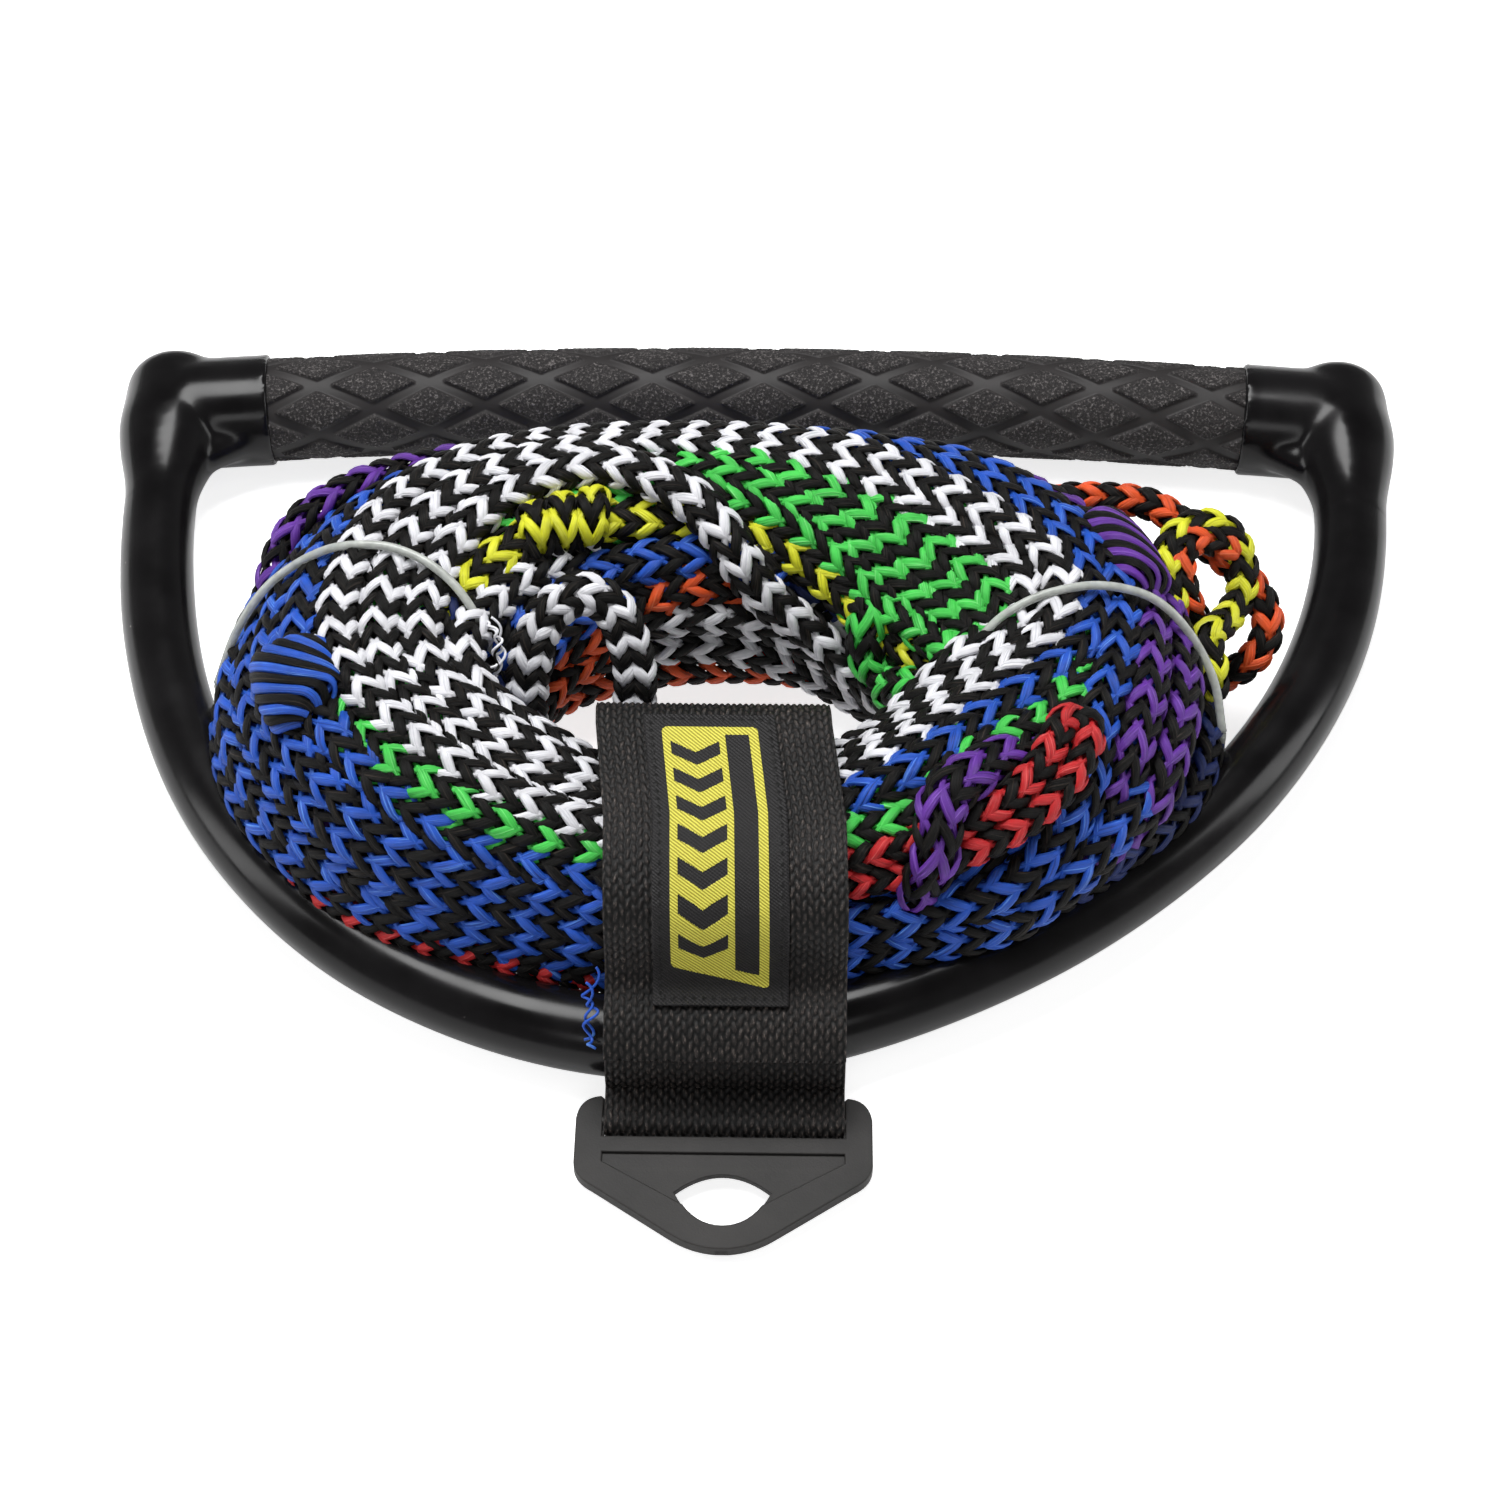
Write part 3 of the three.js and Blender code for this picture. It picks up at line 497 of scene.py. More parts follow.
# ------------------------------------------------------------------ braided rope
YARN_HALF_WIDTH = 1.3
YARN_HALF_THICKNESS = 0.68
YARN_LAYER = 0.6                    # how far over and under the weave carries a yarn
ROPE = {"half_width": 4.3, "half_height": 3.1, "lay": 37.0, "step": 1.15, "yarns": 8}
LOOSE_ROPE = {"half_width": 4.6, "half_height": 3.3, "lay": 43.0, "step": 1.3, "yarns": 8}
END_ROPE = {"half_width": 2.7, "half_height": 2.4, "lay": 26.0, "step": 1.0, "yarns": 6}
UNDER_ROPE = {"half_width": 5.0, "half_height": 2.0, "lay": 36.0, "step": 2.0, "yarns": 8}
SECTION_SQUARENESS = 2.2            # of the rope's own outline; 2 is an ellipse
WANDER = ((0.12, 31.0), (0.07, 11.0))   # how far a rope rolls, in radians, and over what reach
WEAVE_SNAP = 1.6                    # how quickly a yarn goes from over to under
PINCH = {"middle": 0.76, "top": 0.22}   # a yarn's width under the weave and what it gains on top
SWELL = {"share": 0.07, "reach": 3.1}   # a yarn's own thick and thin places
END_GIRTH = 0.35                    # what is left of a tapered rope at its ends
SECTION = [(-1, 0), (-0.62, 0.74), (0, 1), (0.62, 0.74), (1, 0), (0, -0.7)]
rng = np.random.default_rng(SEED)


def section_walk(half_width, half_height):
    """A squashed round outline walked at an even pace: places and outward normals by share of the way."""
    angle = np.linspace(0, 2 * np.pi, 241)
    c, s = np.cos(angle), np.sin(angle)
    outline = np.column_stack([
        half_width * np.sign(c) * np.abs(c) ** (2 / SECTION_SQUARENESS),
        half_height * np.sign(s) * np.abs(s) ** (2 / SECTION_SQUARENESS),
    ])
    share = lengths(outline)
    share /= share[-1]
    edge = np.gradient(outline, axis=0)
    normal = unit(np.column_stack([edge[:, 1], -edge[:, 0]]))
    return share, outline, normal


def braid(path, up, half_width, half_height, lay, step, yarns, roll=0.0, taper=0.0, wrapped=False):
    """Yarn strips of a hollow flat braid along a path: vertices (yarn, row, section, xyz) and coordinates.

    Every yarn goes over two and under two, so the rope's face is columns of strokes that
    slant left and right in turn. Each rope's columns start at a place of their own. A wrapped
    one shows the same yarns all the way round."""
    path, up = resample(path, step, up)
    _, side, up = frames_along(path, up)
    travelled = lengths(path)
    wander = sum(
        amount * np.sin(travelled / reach + rng.uniform(0, 6.28))
        for amount, reach in WANDER
    )
    turn = (roll + wander)[:, None]
    side, up = side * np.cos(turn) + up * np.sin(turn), up * np.cos(turn) - side * np.sin(turn)

    way = np.repeat([1.0, -1.0], yarns)[:, None]
    start = np.tile(np.arange(yarns) / yarns, 2)[:, None]
    share = way * (travelled / lay)[None, :] + start
    over = np.tanh(WEAVE_SNAP * np.sin(np.pi * yarns * share)) / np.tanh(WEAVE_SNAP)
    if wrapped:
        over = np.ones_like(over)
    layer = way * over * YARN_LAYER

    walk, outline, normal = section_walk(half_width, half_height)
    at = (share + rng.uniform(0, 2 / yarns)) % 1.0
    a, b, na, nb = (
        np.interp(at, walk, column)[..., None]
        for column in (outline[:, 0], outline[:, 1], normal[:, 0], normal[:, 1])
    )
    outward = side * na + up * nb
    to_end = np.minimum(travelled, travelled[-1] - travelled) / max(taper, 1e-6)
    girth = (END_GIRTH + (1 - END_GIRTH) * np.sin(np.clip(to_end, 0, 1) * np.pi / 2))[:, None]
    centre = path + (side * a + up * b) * girth + outward * layer[..., None]
    along = unit(np.gradient(centre, axis=1))
    across = unit(np.cross(along, outward))
    outward = np.cross(across, along)

    swell = 1 + SWELL["share"] * np.sin(travelled / SWELL["reach"] + rng.uniform(0, 6.28, (2 * yarns, 1)))
    strips = np.empty((*centre.shape[:2], len(SECTION), 3))
    for k, (x, y) in enumerate(SECTION):
        wide = x * YARN_HALF_WIDTH * (swell * (PINCH["middle"] + PINCH["top"] * way * over))[..., None]
        thick = y * YARN_HALF_THICKNESS
        strips[:, :, k] = centre + across * wide + outward * thick
    return strips, travelled


def dark_rows(yarns):
    """Which of the yarns are black: every second one, so that like colours meet between columns."""
    return np.tile(np.arange(yarns) % 2 == 1, 2)


strips_by_piece = {}


def lay_rope(piece, colour, path, up, spec, **details):
    """Braids a rope and files its yarns under the piece's name and their own colours."""
    strips, travelled = braid(path, up, **spec, **details)
    dark = dark_rows(spec["yarns"])
    for shade, rows in ((colour, ~dark), ("black", dark)):
        filed = strips_by_piece.setdefault((piece, shade), [])
        for strip in strips[rows]:
            filed.append((strip, travelled, rng.uniform(0, 400)))


def build_strips(piece, shade, filed, material, replaced=()):
    """One mesh from many yarn strips, each with its own band of the uv square.

    The boat-end loop is left without a body."""
    sides = len(SECTION)
    longest = max(len(strip) for strip, _, _ in filed)
    points, faces, uvs, along, across = [], [], [], [], []
    offset = 0
    for k, (strip, travelled, phase) in enumerate(filed):
        rows = len(strip)
        points.append(strip.reshape(-1, 3))
        faces.append(grid_faces(rows, sides, wrap_columns=True) + offset)
        low = (0.0, (k + 0.04) / len(filed))
        high = (rows / longest, (k + 0.96) / len(filed))
        uvs.append(grid_uv(rows, sides + 1, low, high))
        along.append(np.repeat(travelled + phase, sides))
        around = np.array([x for x, _ in SECTION]) * YARN_HALF_WIDTH + phase
        across.append(np.tile(around, rows))
        offset += rows * sides
    obj = make_mesh(
        f"{piece}_{shade}", np.vstack(points), np.vstack(faces), np.vstack(uvs),
        {"along": np.concatenate(along), "across": np.concatenate(across)},
    )
    if piece == "eye_loop":
        obj.data.materials.append(material)
        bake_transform(obj)
        if replaced:
            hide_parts(*replaced)
    else:
        finish_piece(obj, material, "handle", replaced)


# ------------------------------------------------------------------ the coil's skin
LANES = 15
HOLE = {"x": -8, "y": -107, "half_x": 42, "half_y": 26, "squareness": 2.2}
RIM = {"x": -7.5, "y": -107, "half_x": 112, "half_y": 77}
SKIN = [                            # (share from hole to rim, height) up the hole's wall, over and down
    (0.04, 6), (0, 18), (0, 30), (0.08, 41), (0.26, 49), (0.50, 53),
    (0.72, 50), (0.88, 39), (0.98, 25), (0.97, 11),
]
STRAP_SQUEEZE = {"reach": 0.09, "in": 0.15, "down": 0.14}   # the strap pulls the front together
SKIN_WIDTH = 75                     # mean width of the ring, to pace the lanes evenly
skin_curve = catmull(SKIN, 40)
skin_share = lengths(skin_curve * (SKIN_WIDTH, 1))
skin_share /= skin_share[-1]


def oval(turn, place, squareness):
    """A point on a squared oval at a turn."""
    angle = 2 * np.pi * turn - np.pi / 2
    c, s = np.cos(angle), np.sin(angle)
    radius = (np.abs(c) ** squareness + np.abs(s) ** squareness) ** (-1 / squareness)
    x = place["x"] + place["half_x"] * c * radius
    return np.column_stack([x, place["y"] + place["half_y"] * s * radius])


def coil_skin(turn, lane, lift):
    """Points and outward normals of the coil at (turn, lane, lift)."""
    share = (lane + 0.5) / LANES
    reach = 0.02
    spread, z = (np.interp(share, skin_share, column) for column in skin_curve.T)
    from_front = np.abs((np.asarray(turn) + 0.5) % 1 - 0.5)
    squeeze = 1 / (1 + (from_front / STRAP_SQUEEZE["reach"]) ** 6)
    spread = spread * (1 - STRAP_SQUEEZE["in"] * squeeze)
    z = z * (1 - STRAP_SQUEEZE["down"] * squeeze)
    d_spread, d_z = (
        np.interp(share + reach, skin_share, column) - np.interp(share - reach, skin_share, column)
        for column in skin_curve.T
    )
    back = np.maximum(np.sin(2 * np.pi * turn - np.pi / 2), 0)
    inner = oval(turn, HOLE, HOLE["squareness"])
    outer = oval(turn, RIM, 2 + 0.6 * np.sqrt(back))
    width = np.linalg.norm(outer - inner, axis=1)
    out = (outer - inner) / width[:, None]
    rise = unit(np.column_stack([d_spread * width, d_z]))
    normal = np.column_stack([out * -rise[:, 1:], rise[:, :1]])
    points = np.column_stack([inner + (outer - inner) * spread[:, None], z])
    return points + normal * np.asarray(lift)[:, None], normal


def coil_path(places):
    """A dense path and its normals from (turn, lane) or (turn, lane, lift) places."""
    rows = catmull([place if len(place) == 3 else (*place, 0) for place in places], 14)
    return coil_skin(rows[:, 0], rows[:, 1], rows[:, 2])


# ------------------------------------------------------------------ passes seen on the coil
WHITE_PASSES = {
    "white_outer": [(0, 7.2), (.05, 6.4), (.1, 5.6), (.15, 5.3), (.2, 5.9), (.25, 7.1), (.3, 7.7),
                    (.35, 7.4), (.4, 7.6), (.45, 8.6), (.5, 9.5), (.55, 9.6), (.6, 9.2), (.65, 8.7),
                    (.7, 8.3), (.75, 8.2), (.8, 7.9), (.85, 7.6), (.9, 7.9), (.95, 8.3), (1, 8.4)],
    "white_middle": [(0, 6), (.05, 5.3), (.1, 4.6), (.15, 4.3), (.2, 4.9), (.25, 6.2), (.3, 6.8),
                     (.35, 6.4), (.4, 6.7), (.45, 7.6), (.5, 8.4), (.55, 8.6), (.6, 8.2), (.65, 7.6),
                     (.7, 7.2), (.75, 7.1), (.8, 6.9), (.85, 6.5), (.9, 6.8), (.95, 7.3), (1, 7.4)],
    "white_crossing": [(.26, 1.4, -2), (.31, 1), (.36, 1.3, 1), (.4, 2, 1), (.45, 2.9, 2),
                       (.48, 3.9, 4), (.5, 4.9, 5), (.53, 6.3, 4), (.56, 7.3, 2), (.6, 7.2), (.65, 6.5),
                       (.7, 6.1), (.75, 6), (.8, 5.8), (.85, 5.4), (.9, 5.6), (.95, 6.2), (1, 6.3)],
    "white_inner": [(.58, 4.4, -4), (.62, 4.5, -1), (.7, 4.5), (.75, 4.8), (.8, 4.7), (.85, 4.4),
                    (.9, 4.5), (.95, 5.1), (1, 5.2)],
    "white_wall_high": [(.32, .3, -2), (.36, .7), (.4, 1.1), (.45, 1.9), (.5, 2.2), (.55, 2.2),
                        (.6, 2, -3)],
    "white_wall_low": [(.33, -.4, -2), (.37, -.1), (.42, .4), (.47, 1), (.52, 1.2), (.57, 1.1),
                       (.62, 1, -3)],
    "white_front": [(0, 4.7), (.05, 4.1), (.1, 3.5), (.15, 3.3), (.2, 3.9), (.24, 4.92),
                    (.28, 5.62, -4)],
}
GREEN_PASSES = {
    "green_1": [(.22, 4.6, -5), (.26, 4.4, -1), (.3, 3.9), (.35, 3.6), (.4, 4.1), (.45, 5.1), (.5, 6.1),
                (.55, 6.4, -2), (.61, 6.3, -3), (.66, 6, -6)],
    "green_2": [(.22, 5.2, -5), (.26, 5, -1), (.3, 4.6), (.35, 4.3), (.4, 4.8), (.45, 5.8), (.5, 6.9),
                (.54, 7.6, -4)],
    "green_3": [(.22, 5.8, -5), (.26, 5.6, -1), (.3, 5.3), (.35, 5), (.4, 5.5), (.45, 6.5),
                (.49, 7.5, -1), (.53, 8.3, -5)],
    "green_4": [(.23, 6.3, -5), (.27, 6.1, -1), (.31, 5.9), (.35, 5.6), (.4, 6.1, -1), (.45, 7, -3)],
    "green_end": [(.4, 3.3, -2), (.365, 3.2, 2), (.345, 2.7, 4), (.325, 2.1, 4), (.3, 1.8, 2.5),
                  (.27, 2.2, 1), (.24, 3.1, -2)],
    "green_low": [(0, 9), (.05, 8.6), (.08, 8.5, -1), (.12, 8.14, -4)],
    "green_under": [(0, 7.6, -2), (.05, 7, -2), (.1, 6.2, -2), (.15, 5.9, -2), (.2, 6.4, -2),
                    (.24, 7.52, -4)],
    "green_gap": [(.23, 8.04, -4), (.2, 7.9, -2), (.17, 7.88, -1.5), (.15, 7.4, -1), (.12, 7.44, -1),
                  (.08, 8.1, -3)],
    "green_left": [(.76, 7.4, -5), (.8, 8.3, -2), (.83, 8.6, -1), (.86, 8.7), (.9, 8.8), (.95, 9, -.5),
                   (1, 9.1, -1)],
    "green_left_low": [(.81, 8.8, -4), (.86, 9.2, -2), (.9, 9.4, -2), (.95, 9.7, -3)],
    "green_peep": [(.7, 6.6, -4), (.75, 6.5, -2.5), (.8, 6.3, -2.5), (.85, 5.9, -4)],
}
BLUE_PASSES = {
    "blue_top": [(.52, 9.9, -4), (.47, 9.5, -1), (.43, 9), (.4, 8.6), (.35, 8.3), (.3, 8.4),
                 (.27, 8.28), (.24, 7.82), (.2, 6.9), (.15, 6.4), (.1, 6.9), (.05, 7.6), (0, 8.2)],
    "blue_low": [(.5, 10.6, -3), (.45, 10.2, -1), (.4, 9.5), (.35, 9.1), (.3, 9.2), (.25, 8.9),
                 (.2, 8.8), (.17, 9.38), (.15, 10.2), (.12, 11.24), (.1, 11.7), (.05, 11.9), (0, 12.4)],
    "blue_lowest": [(.2, 11.4, -4), (.17, 11.38, -1), (.15, 11.6), (.12, 12.24), (.1, 12.7),
                    (.05, 12.8), (0, 13.3)],
    "blue_wall_1": [(.74, 3.2, -2), (.7, 3.4), (.65, 3.5), (.6, 3.7), (.55, 3.9), (.5, 4),
                    (.45, 3.8, -2)],
    "blue_wall_2": [(.74, 2.2, -2), (.7, 2.5), (.65, 2.7), (.6, 2.9), (.56, 3.1, -1), (.5, 3.2, -2)],
    "blue_left_1": [(.5, 10.6, -3), (.56, 10.5), (.6, 10.2), (.65, 9.8), (.7, 9.3), (.75, 9.2),
                    (.8, 9.2), (.85, 9.3, .5), (.9, 9.8), (.95, 10), (1, 10)],
    "blue_left_2": [(.4, 11.6, -2), (.5, 11.5), (.6, 11.1), (.65, 10.8), (.7, 10.3), (.75, 10.2),
                    (.8, 10.2), (.85, 10.3), (.9, 10.7), (.95, 11), (1, 11)],
    "blue_left_3": [(.4, 12.4, -2), (.5, 12.3), (.6, 12), (.65, 11.8), (.7, 11.3), (.75, 11.2),
                    (.8, 11.2), (.85, 11.3), (.9, 11.6), (.95, 11.9), (1, 11.9)],
    "blue_left_4": [(.4, 13.2, -2), (.5, 13.1), (.6, 12.9), (.65, 12.7), (.7, 12.3), (.75, 12.2),
                    (.8, 12.1), (.85, 12.1), (.9, 12.2), (.95, 12.4), (1, 12.6)],
    "blue_left_5": [(.4, 14, -2), (.5, 13.9), (.6, 13.7), (.7, 13.2), (.75, 13.1), (.8, 12.9),
                    (.85, 12.8), (.9, 12.8, .5), (.95, 13.2, .3), (1, 13.6)],
}
NAVY_PASSES = {
    "navy_right_1": [(.45, 12.2, -1), (.4, 12.3), (.35, 12.6), (.3, 13), (.25, 13.3), (.2, 13.3, -2),
                     (.15, 13, -7)],
    "navy_right_2": [(.5, 13.6, -3), (.45, 13.4), (.35, 13.6), (.25, 13.8, -1), (.2, 13.5, -4),
                     (.15, 13, -8)],
    "navy_left": [(.7, 5.2, -3), (.75, 5.3, -3), (.8, 5.2, -4)],
}
PURPLE_PASSES = {
    "purple_1": [(.5, 12.2, -3), (.45, 11.3, -1), (.42, 10.7), (.39, 10.2), (.36, 10), (.33, 10),
                 (.3, 10.2), (.27, 10.02), (.24, 9.8), (.2, 10), (.18, 10.4), (.16, 11.1, -3)],
    "purple_2": [(.36, 11.6, -2), (.32, 11.3), (.28, 11.18), (.25, 11.1), (.22, 11.1), (.2, 11.2),
                 (.18, 11.6), (.16, 12.2, -4)],
    "purple_corner": [(.53, 11.3, -1), (.57, 11.1, 1), (.605, 11, 3), (.635, 11, 5.5), (.66, 11.4, 6.5),
                      (.68, 12.2, 3), (.7, 12.8, -2)],
    "purple_over": [(.168, 8, -5), (.148, 8, -1), (.127, 8.1, 2.5), (.11, 8.3, 5), (.097, 8.6, 6.5),
                    (.088, 9.1, 7), (.082, 9.7, 7), (.078, 10.2, 5.5), (.076, 10.7, 2),
                    (.077, 11.2, -3)],
}
RED_PASSES = {
    "red_end": [(.0, 10.2, -.5), (.04, 9.7, .3), (.08, 9.45, 1), (.1, 9.35, 1.8), (.12, 9.19, 2.8),
                (.14, 8.88, 3.6), (.155, 8.62, 4.2), (.166, 8.41, 4.4), (.173, 8.64, 4.4),
                (.17, 8.98, 4.4), (.157, 9.28, 4.2), (.14, 9.58, 3.6), (.12, 9.89, 2.6),
                (.1, 10.1, 1.6), (.08, 10.3, .6), (.05, 10.4, -.2), (.0, 11, -1)],
    "red_left": [(.83, 13.2, -4), (.85, 13.3, 0), (.875, 13.35, 1.6), (.905, 13.3, 2.4),
                 (.935, 13.4, 2.4), (.96, 13.6, 1.6), (.985, 13.9, .5), (1, 14, -3)],
}
ORANGE_PASSES = {
    "orange_wall": [(.66, 1.6, -2), (.62, 1.9), (.59, 2.2, .5), (.56, 2.7, 1), (.53, 3.1, 1),
                    (.5, 3.2, 0), (.47, 3, -3)],
    "orange_wall_left": [(.74, .8, -2), (.7, .9), (.66, 1.1), (.62, 1.3), (.58, 1.5, -2)],
    "orange_foot": [(.7, .1, -1), (.6, .1, .5), (.5, .1, .5), (.42, -.1, -1)],
}
YELLOW_PASSES = {
    "yellow_1": [(.72, 5.3, -4), (.68, 5.3, -1), (.64, 5.3, 1), (.6, 5.5, 1), (.55, 5.4), (.5, 5.2),
                 (.46, 4.6), (.42, 3.8), (.38, 3.2), (.35, 3, -1), (.31, 3, -2), (.27, 3.6, -4)],
}
ROPE_OF_COLOUR = {"blue": LOOSE_ROPE, "navy": LOOSE_ROPE, "purple": LOOSE_ROPE, "red": END_ROPE}
UNDER_COLOURS = ["white", "navy", "white", "navy", "blue", "green", "navy", "white", "green", "navy",
                 "blue", "blue", "purple", "navy", "blue"]
UNDER_LIFT = -4.6
PILE = {"level": 0.7, "ripple": 0.5, "reach": 27}   # how far passes ride up and down, and how often
LOOSE_ROLL = 0.2
UNDER_SWAY = 0.3


def uneven(path):
    """How much a pass rides up and down on those below it."""
    travelled = lengths(path)
    phase, level = rng.uniform(0, 6.28), rng.uniform(-PILE["level"], PILE["level"])
    return level + PILE["ripple"] * np.sin(travelled / PILE["reach"] + phase)


def lay_coil():
    """All the rope passes seen on the coil, and a layer of passes under them."""
    families = {
        "white": WHITE_PASSES, "green": GREEN_PASSES, "blue": BLUE_PASSES, "navy": NAVY_PASSES,
        "purple": PURPLE_PASSES, "red": RED_PASSES, "orange": ORANGE_PASSES, "yellow": YELLOW_PASSES,
    }
    for colour, passes in families.items():
        for places in passes.values():
            path, up = coil_path(places)
            path = path + up * uneven(path)[:, None]
            spec = ROPE_OF_COLOUR.get(colour, ROPE)
            roll = rng.uniform(-LOOSE_ROLL, LOOSE_ROLL)
            lay_rope("line_" + colour, colour, path, up, spec, roll=roll)
    ring = np.linspace(0, 1, 41)
    for lane, colour in enumerate(UNDER_COLOURS):
        sway = UNDER_SWAY * np.sin(2 * np.pi * (ring * 2 + rng.uniform(0, 1)))
        places = np.column_stack([ring, lane + sway, np.full(ring.size, UNDER_LIFT)])
        path, up = coil_path([tuple(row) for row in places])
        lay_rope("under_" + colour, colour, path, up, UNDER_ROPE)


CORE = {"lift": -8.0, "ridge": 1.2, "floor": 2.2, "rows": 180, "columns": 90}


def make_coil_core(material):
    """The inside of the coil, in black yarn as painted shade: the passes that never show, as ridges under
    the others.
    """
    rows, columns = CORE["rows"], CORE["columns"]
    turn = np.repeat(np.linspace(0, 1, rows, endpoint=False), columns)
    lane = np.tile(np.linspace(-0.6, LANES - 0.4, columns), rows)
    ridge = CORE["ridge"] * np.abs(np.sin(np.pi * (lane + 0.5)))
    points, _ = coil_skin(turn, lane, CORE["lift"] + ridge)
    points[:, 2] = np.maximum(points[:, 2], CORE["floor"])
    obj = make_mesh("coil_core", points, grid_faces(rows, columns, True, True))
    # black yarn stands in as painted shade for the hidden passes
    finish_piece(obj, material, "handle")


# ------------------------------------------------------------------ closed shapes
def closed_grid(name, grid, values=None):
    """A closed body from rows x columns points, wrapped round its columns, with its ends drawn together."""
    rows, columns, _ = grid.shape
    first = np.repeat(grid[:1].mean(1, keepdims=True), columns, 1)
    last = np.repeat(grid[-1:].mean(1, keepdims=True), columns, 1)
    near = 0.002
    grid = np.concatenate([
        first + (grid[:1] - first) * near, grid, last + (grid[-1:] - last) * near,
    ])
    rows += 2
    points = grid.reshape(-1, 3)
    faces = grid_faces(rows, columns, wrap_columns=True)
    uv = grid_uv(rows, columns + 1).reshape(-1, 4, 2)
    a, b, c, d = (points[faces[:, k]] for k in range(4))
    volume = (a * np.cross(b, c) + a * np.cross(c, d)).sum()
    if volume < 0:
        faces, uv = faces[:, ::-1], uv[:, ::-1]
    filled = {}
    for key, value in (values or {}).items():
        value = np.zeros(rows - 2) if value is None else np.asarray(value, float)
        if value.ndim == 1:
            value = np.repeat(value[:, None], columns, 1)
        filled[key] = np.concatenate([value[:1], value, value[-1:]])
    return make_mesh(name, points, faces, uv.reshape(-1, 2), filled)


def rings(path, radius, sides):
    """Round rings along a path; the radius is one number or one for each point."""
    _, side, rise = frames_along(path, np.broadcast_to((0.0, 0.0, 1.0), path.shape))
    angle = np.linspace(0, 2 * np.pi, sides, endpoint=False)[None, :, None]
    radius = np.broadcast_to(radius, len(path))[:, None, None]
    return path[:, None] + radius * (side[:, None] * np.cos(angle) + rise[:, None] * np.sin(angle))


# ------------------------------------------------------------------ loops, splices and knots on the coil
FACING_OUT = (0.0, -0.64, 0.77)     # the up of a flat braid that turns its broad side to the front
ORANGE_LOOPS = [
    [(70, -50, 36), (76, -52, 40), (93, -56, 42), (105.6, -67, 40), (116, -74, 34), (119.8, -81, 28),
     (116.5, -86, 22), (110, -86.4, 16), (104, -84, 12)],
    [(112, -71, 41), (106, -69, 44), (100, -71, 45), (98, -77, 43), (99.5, -82, 38), (103, -83, 30),
     (106, -82, 20)],
]
YELLOW_LOOP = [(97, -86, 38), (94.5, -80, 43), (96.5, -71, 45.5), (103, -66, 46), (110, -67, 44),
               (113, -71.5, 40), (113.4, -76, 35), (111, -81, 33), (108, -86, 34), (104, -92, 36),
               (105, -97, 32), (105.6, -102, 26)]
EYE_LOOP = [(-50, -118, 22), (-50, -113, 31), (-49, -107, 42), (-45, -101, 50.5), (-38, -98, 54.5),
            (-31, -99, 52), (-27, -103, 45), (-25.5, -108, 36), (-27, -113, 26), (-30, -116, 19)]
EYE_ROPE = {"half_width": 4.0, "half_height": 2.5, "lay": 29.0, "step": 0.9, "yarns": 8}
LOOP_ROPE = {"half_width": 2.7, "half_height": 2.1, "lay": 27.0, "step": 0.9, "yarns": 6}
BLUE_SPLICE = {"half_width": 8.5, "half_height": 5.5, "lay": 36.0, "step": 0.5, "yarns": 14}
PURPLE_SPLICE = {"half_width": 7.0, "half_height": 5.0, "lay": 32.0, "step": 0.5, "yarns": 12}
SPLICES = [
    ("blue", [(0.765, 9.3, 2), (0.79, 9.3, 2.6), (0.815, 9.3, 2)], BLUE_SPLICE),
    ("purple", [(0.345, 10, 1.5), (0.32, 10, 2), (0.29, 10, 1.5)], PURPLE_SPLICE),
]
SPLICE_TAPER = 4
KNOT_ROPE = {"half_width": 3.2, "half_height": 1.8, "lay": 28.0, "step": 0.9, "yarns": 6}
KNOT = {"turns": 2.5, "radius": 4.6, "from": 0.572, "to": 0.617, "lane": 5.5, "lift": 1.5}


def lay_free(piece, colour, places, spec):
    """A rope through free points in the drawing, with its broad side to the front."""
    path = catmull(places, 14)
    lay_rope(piece, colour, path, np.tile(FACING_OUT, (len(path), 1)), spec)


def lay_loops():
    lay_free("eye_loop", "white", EYE_LOOP, EYE_ROPE)
    for places in ORANGE_LOOPS:
        lay_free("line_orange", "orange", places, LOOP_ROPE)
    lay_free("line_yellow", "yellow", YELLOW_LOOP, LOOP_ROPE)
    for colour, places, spec in SPLICES:
        path, up = coil_path(places)
        lay_rope("line_" + colour, colour, path, up, spec, taper=SPLICE_TAPER, wrapped=True)
    share = np.linspace(0, 1, 90)
    turn = KNOT["from"] + (KNOT["to"] - KNOT["from"]) * share
    middle, normal = coil_skin(turn, np.full(share.size, KNOT["lane"]), np.full(share.size, KNOT["lift"]))
    _, side, rise = frames_along(middle, normal)
    angle = (2 * np.pi * KNOT["turns"] * share)[:, None]
    out = side * np.cos(angle) + rise * np.sin(angle)
    lay_rope("line_yellow", "yellow", middle + out * KNOT["radius"], out, KNOT_ROPE)


THREAD_RADIUS = 0.32
THREADS = [                         # name, colour, places, curl radius, curls
    ("blue_thread", "blue",
     [(-31, -184, 31), (-33, -188, 27), (-32, -191, 23), (-33.5, -193, 20)], 1.2, 2.5),
    ("blue_thread_end", "blue",
     [(-33, -187, 30), (-31.5, -190, 25), (-33, -193, 22), (-31, -196, 19)], 1.0, 3),
    ("white_fray_1", "white",
     [(-58, -103, 47), (-55.5, -105, 48.5), (-56.5, -109, 45), (-58, -111, 42)], 0.8, 3),
    ("white_fray_2", "white",
     [(-57.5, -101, 49), (-55.5, -103, 47), (-55, -108, 44), (-57, -112, 40)], 0.7, 2.2),
    ("white_fray_3", "white",
     [(-59, -102, 49), (-57, -104, 50.5), (-55.5, -107, 46), (-56, -111, 41)], 0.6, 4),
    ("black_fray", "black",
     [(-59, -104, 48), (-56.5, -104, 48), (-56, -109, 45), (-58, -113, 40)], 0.6, 3.4),
]


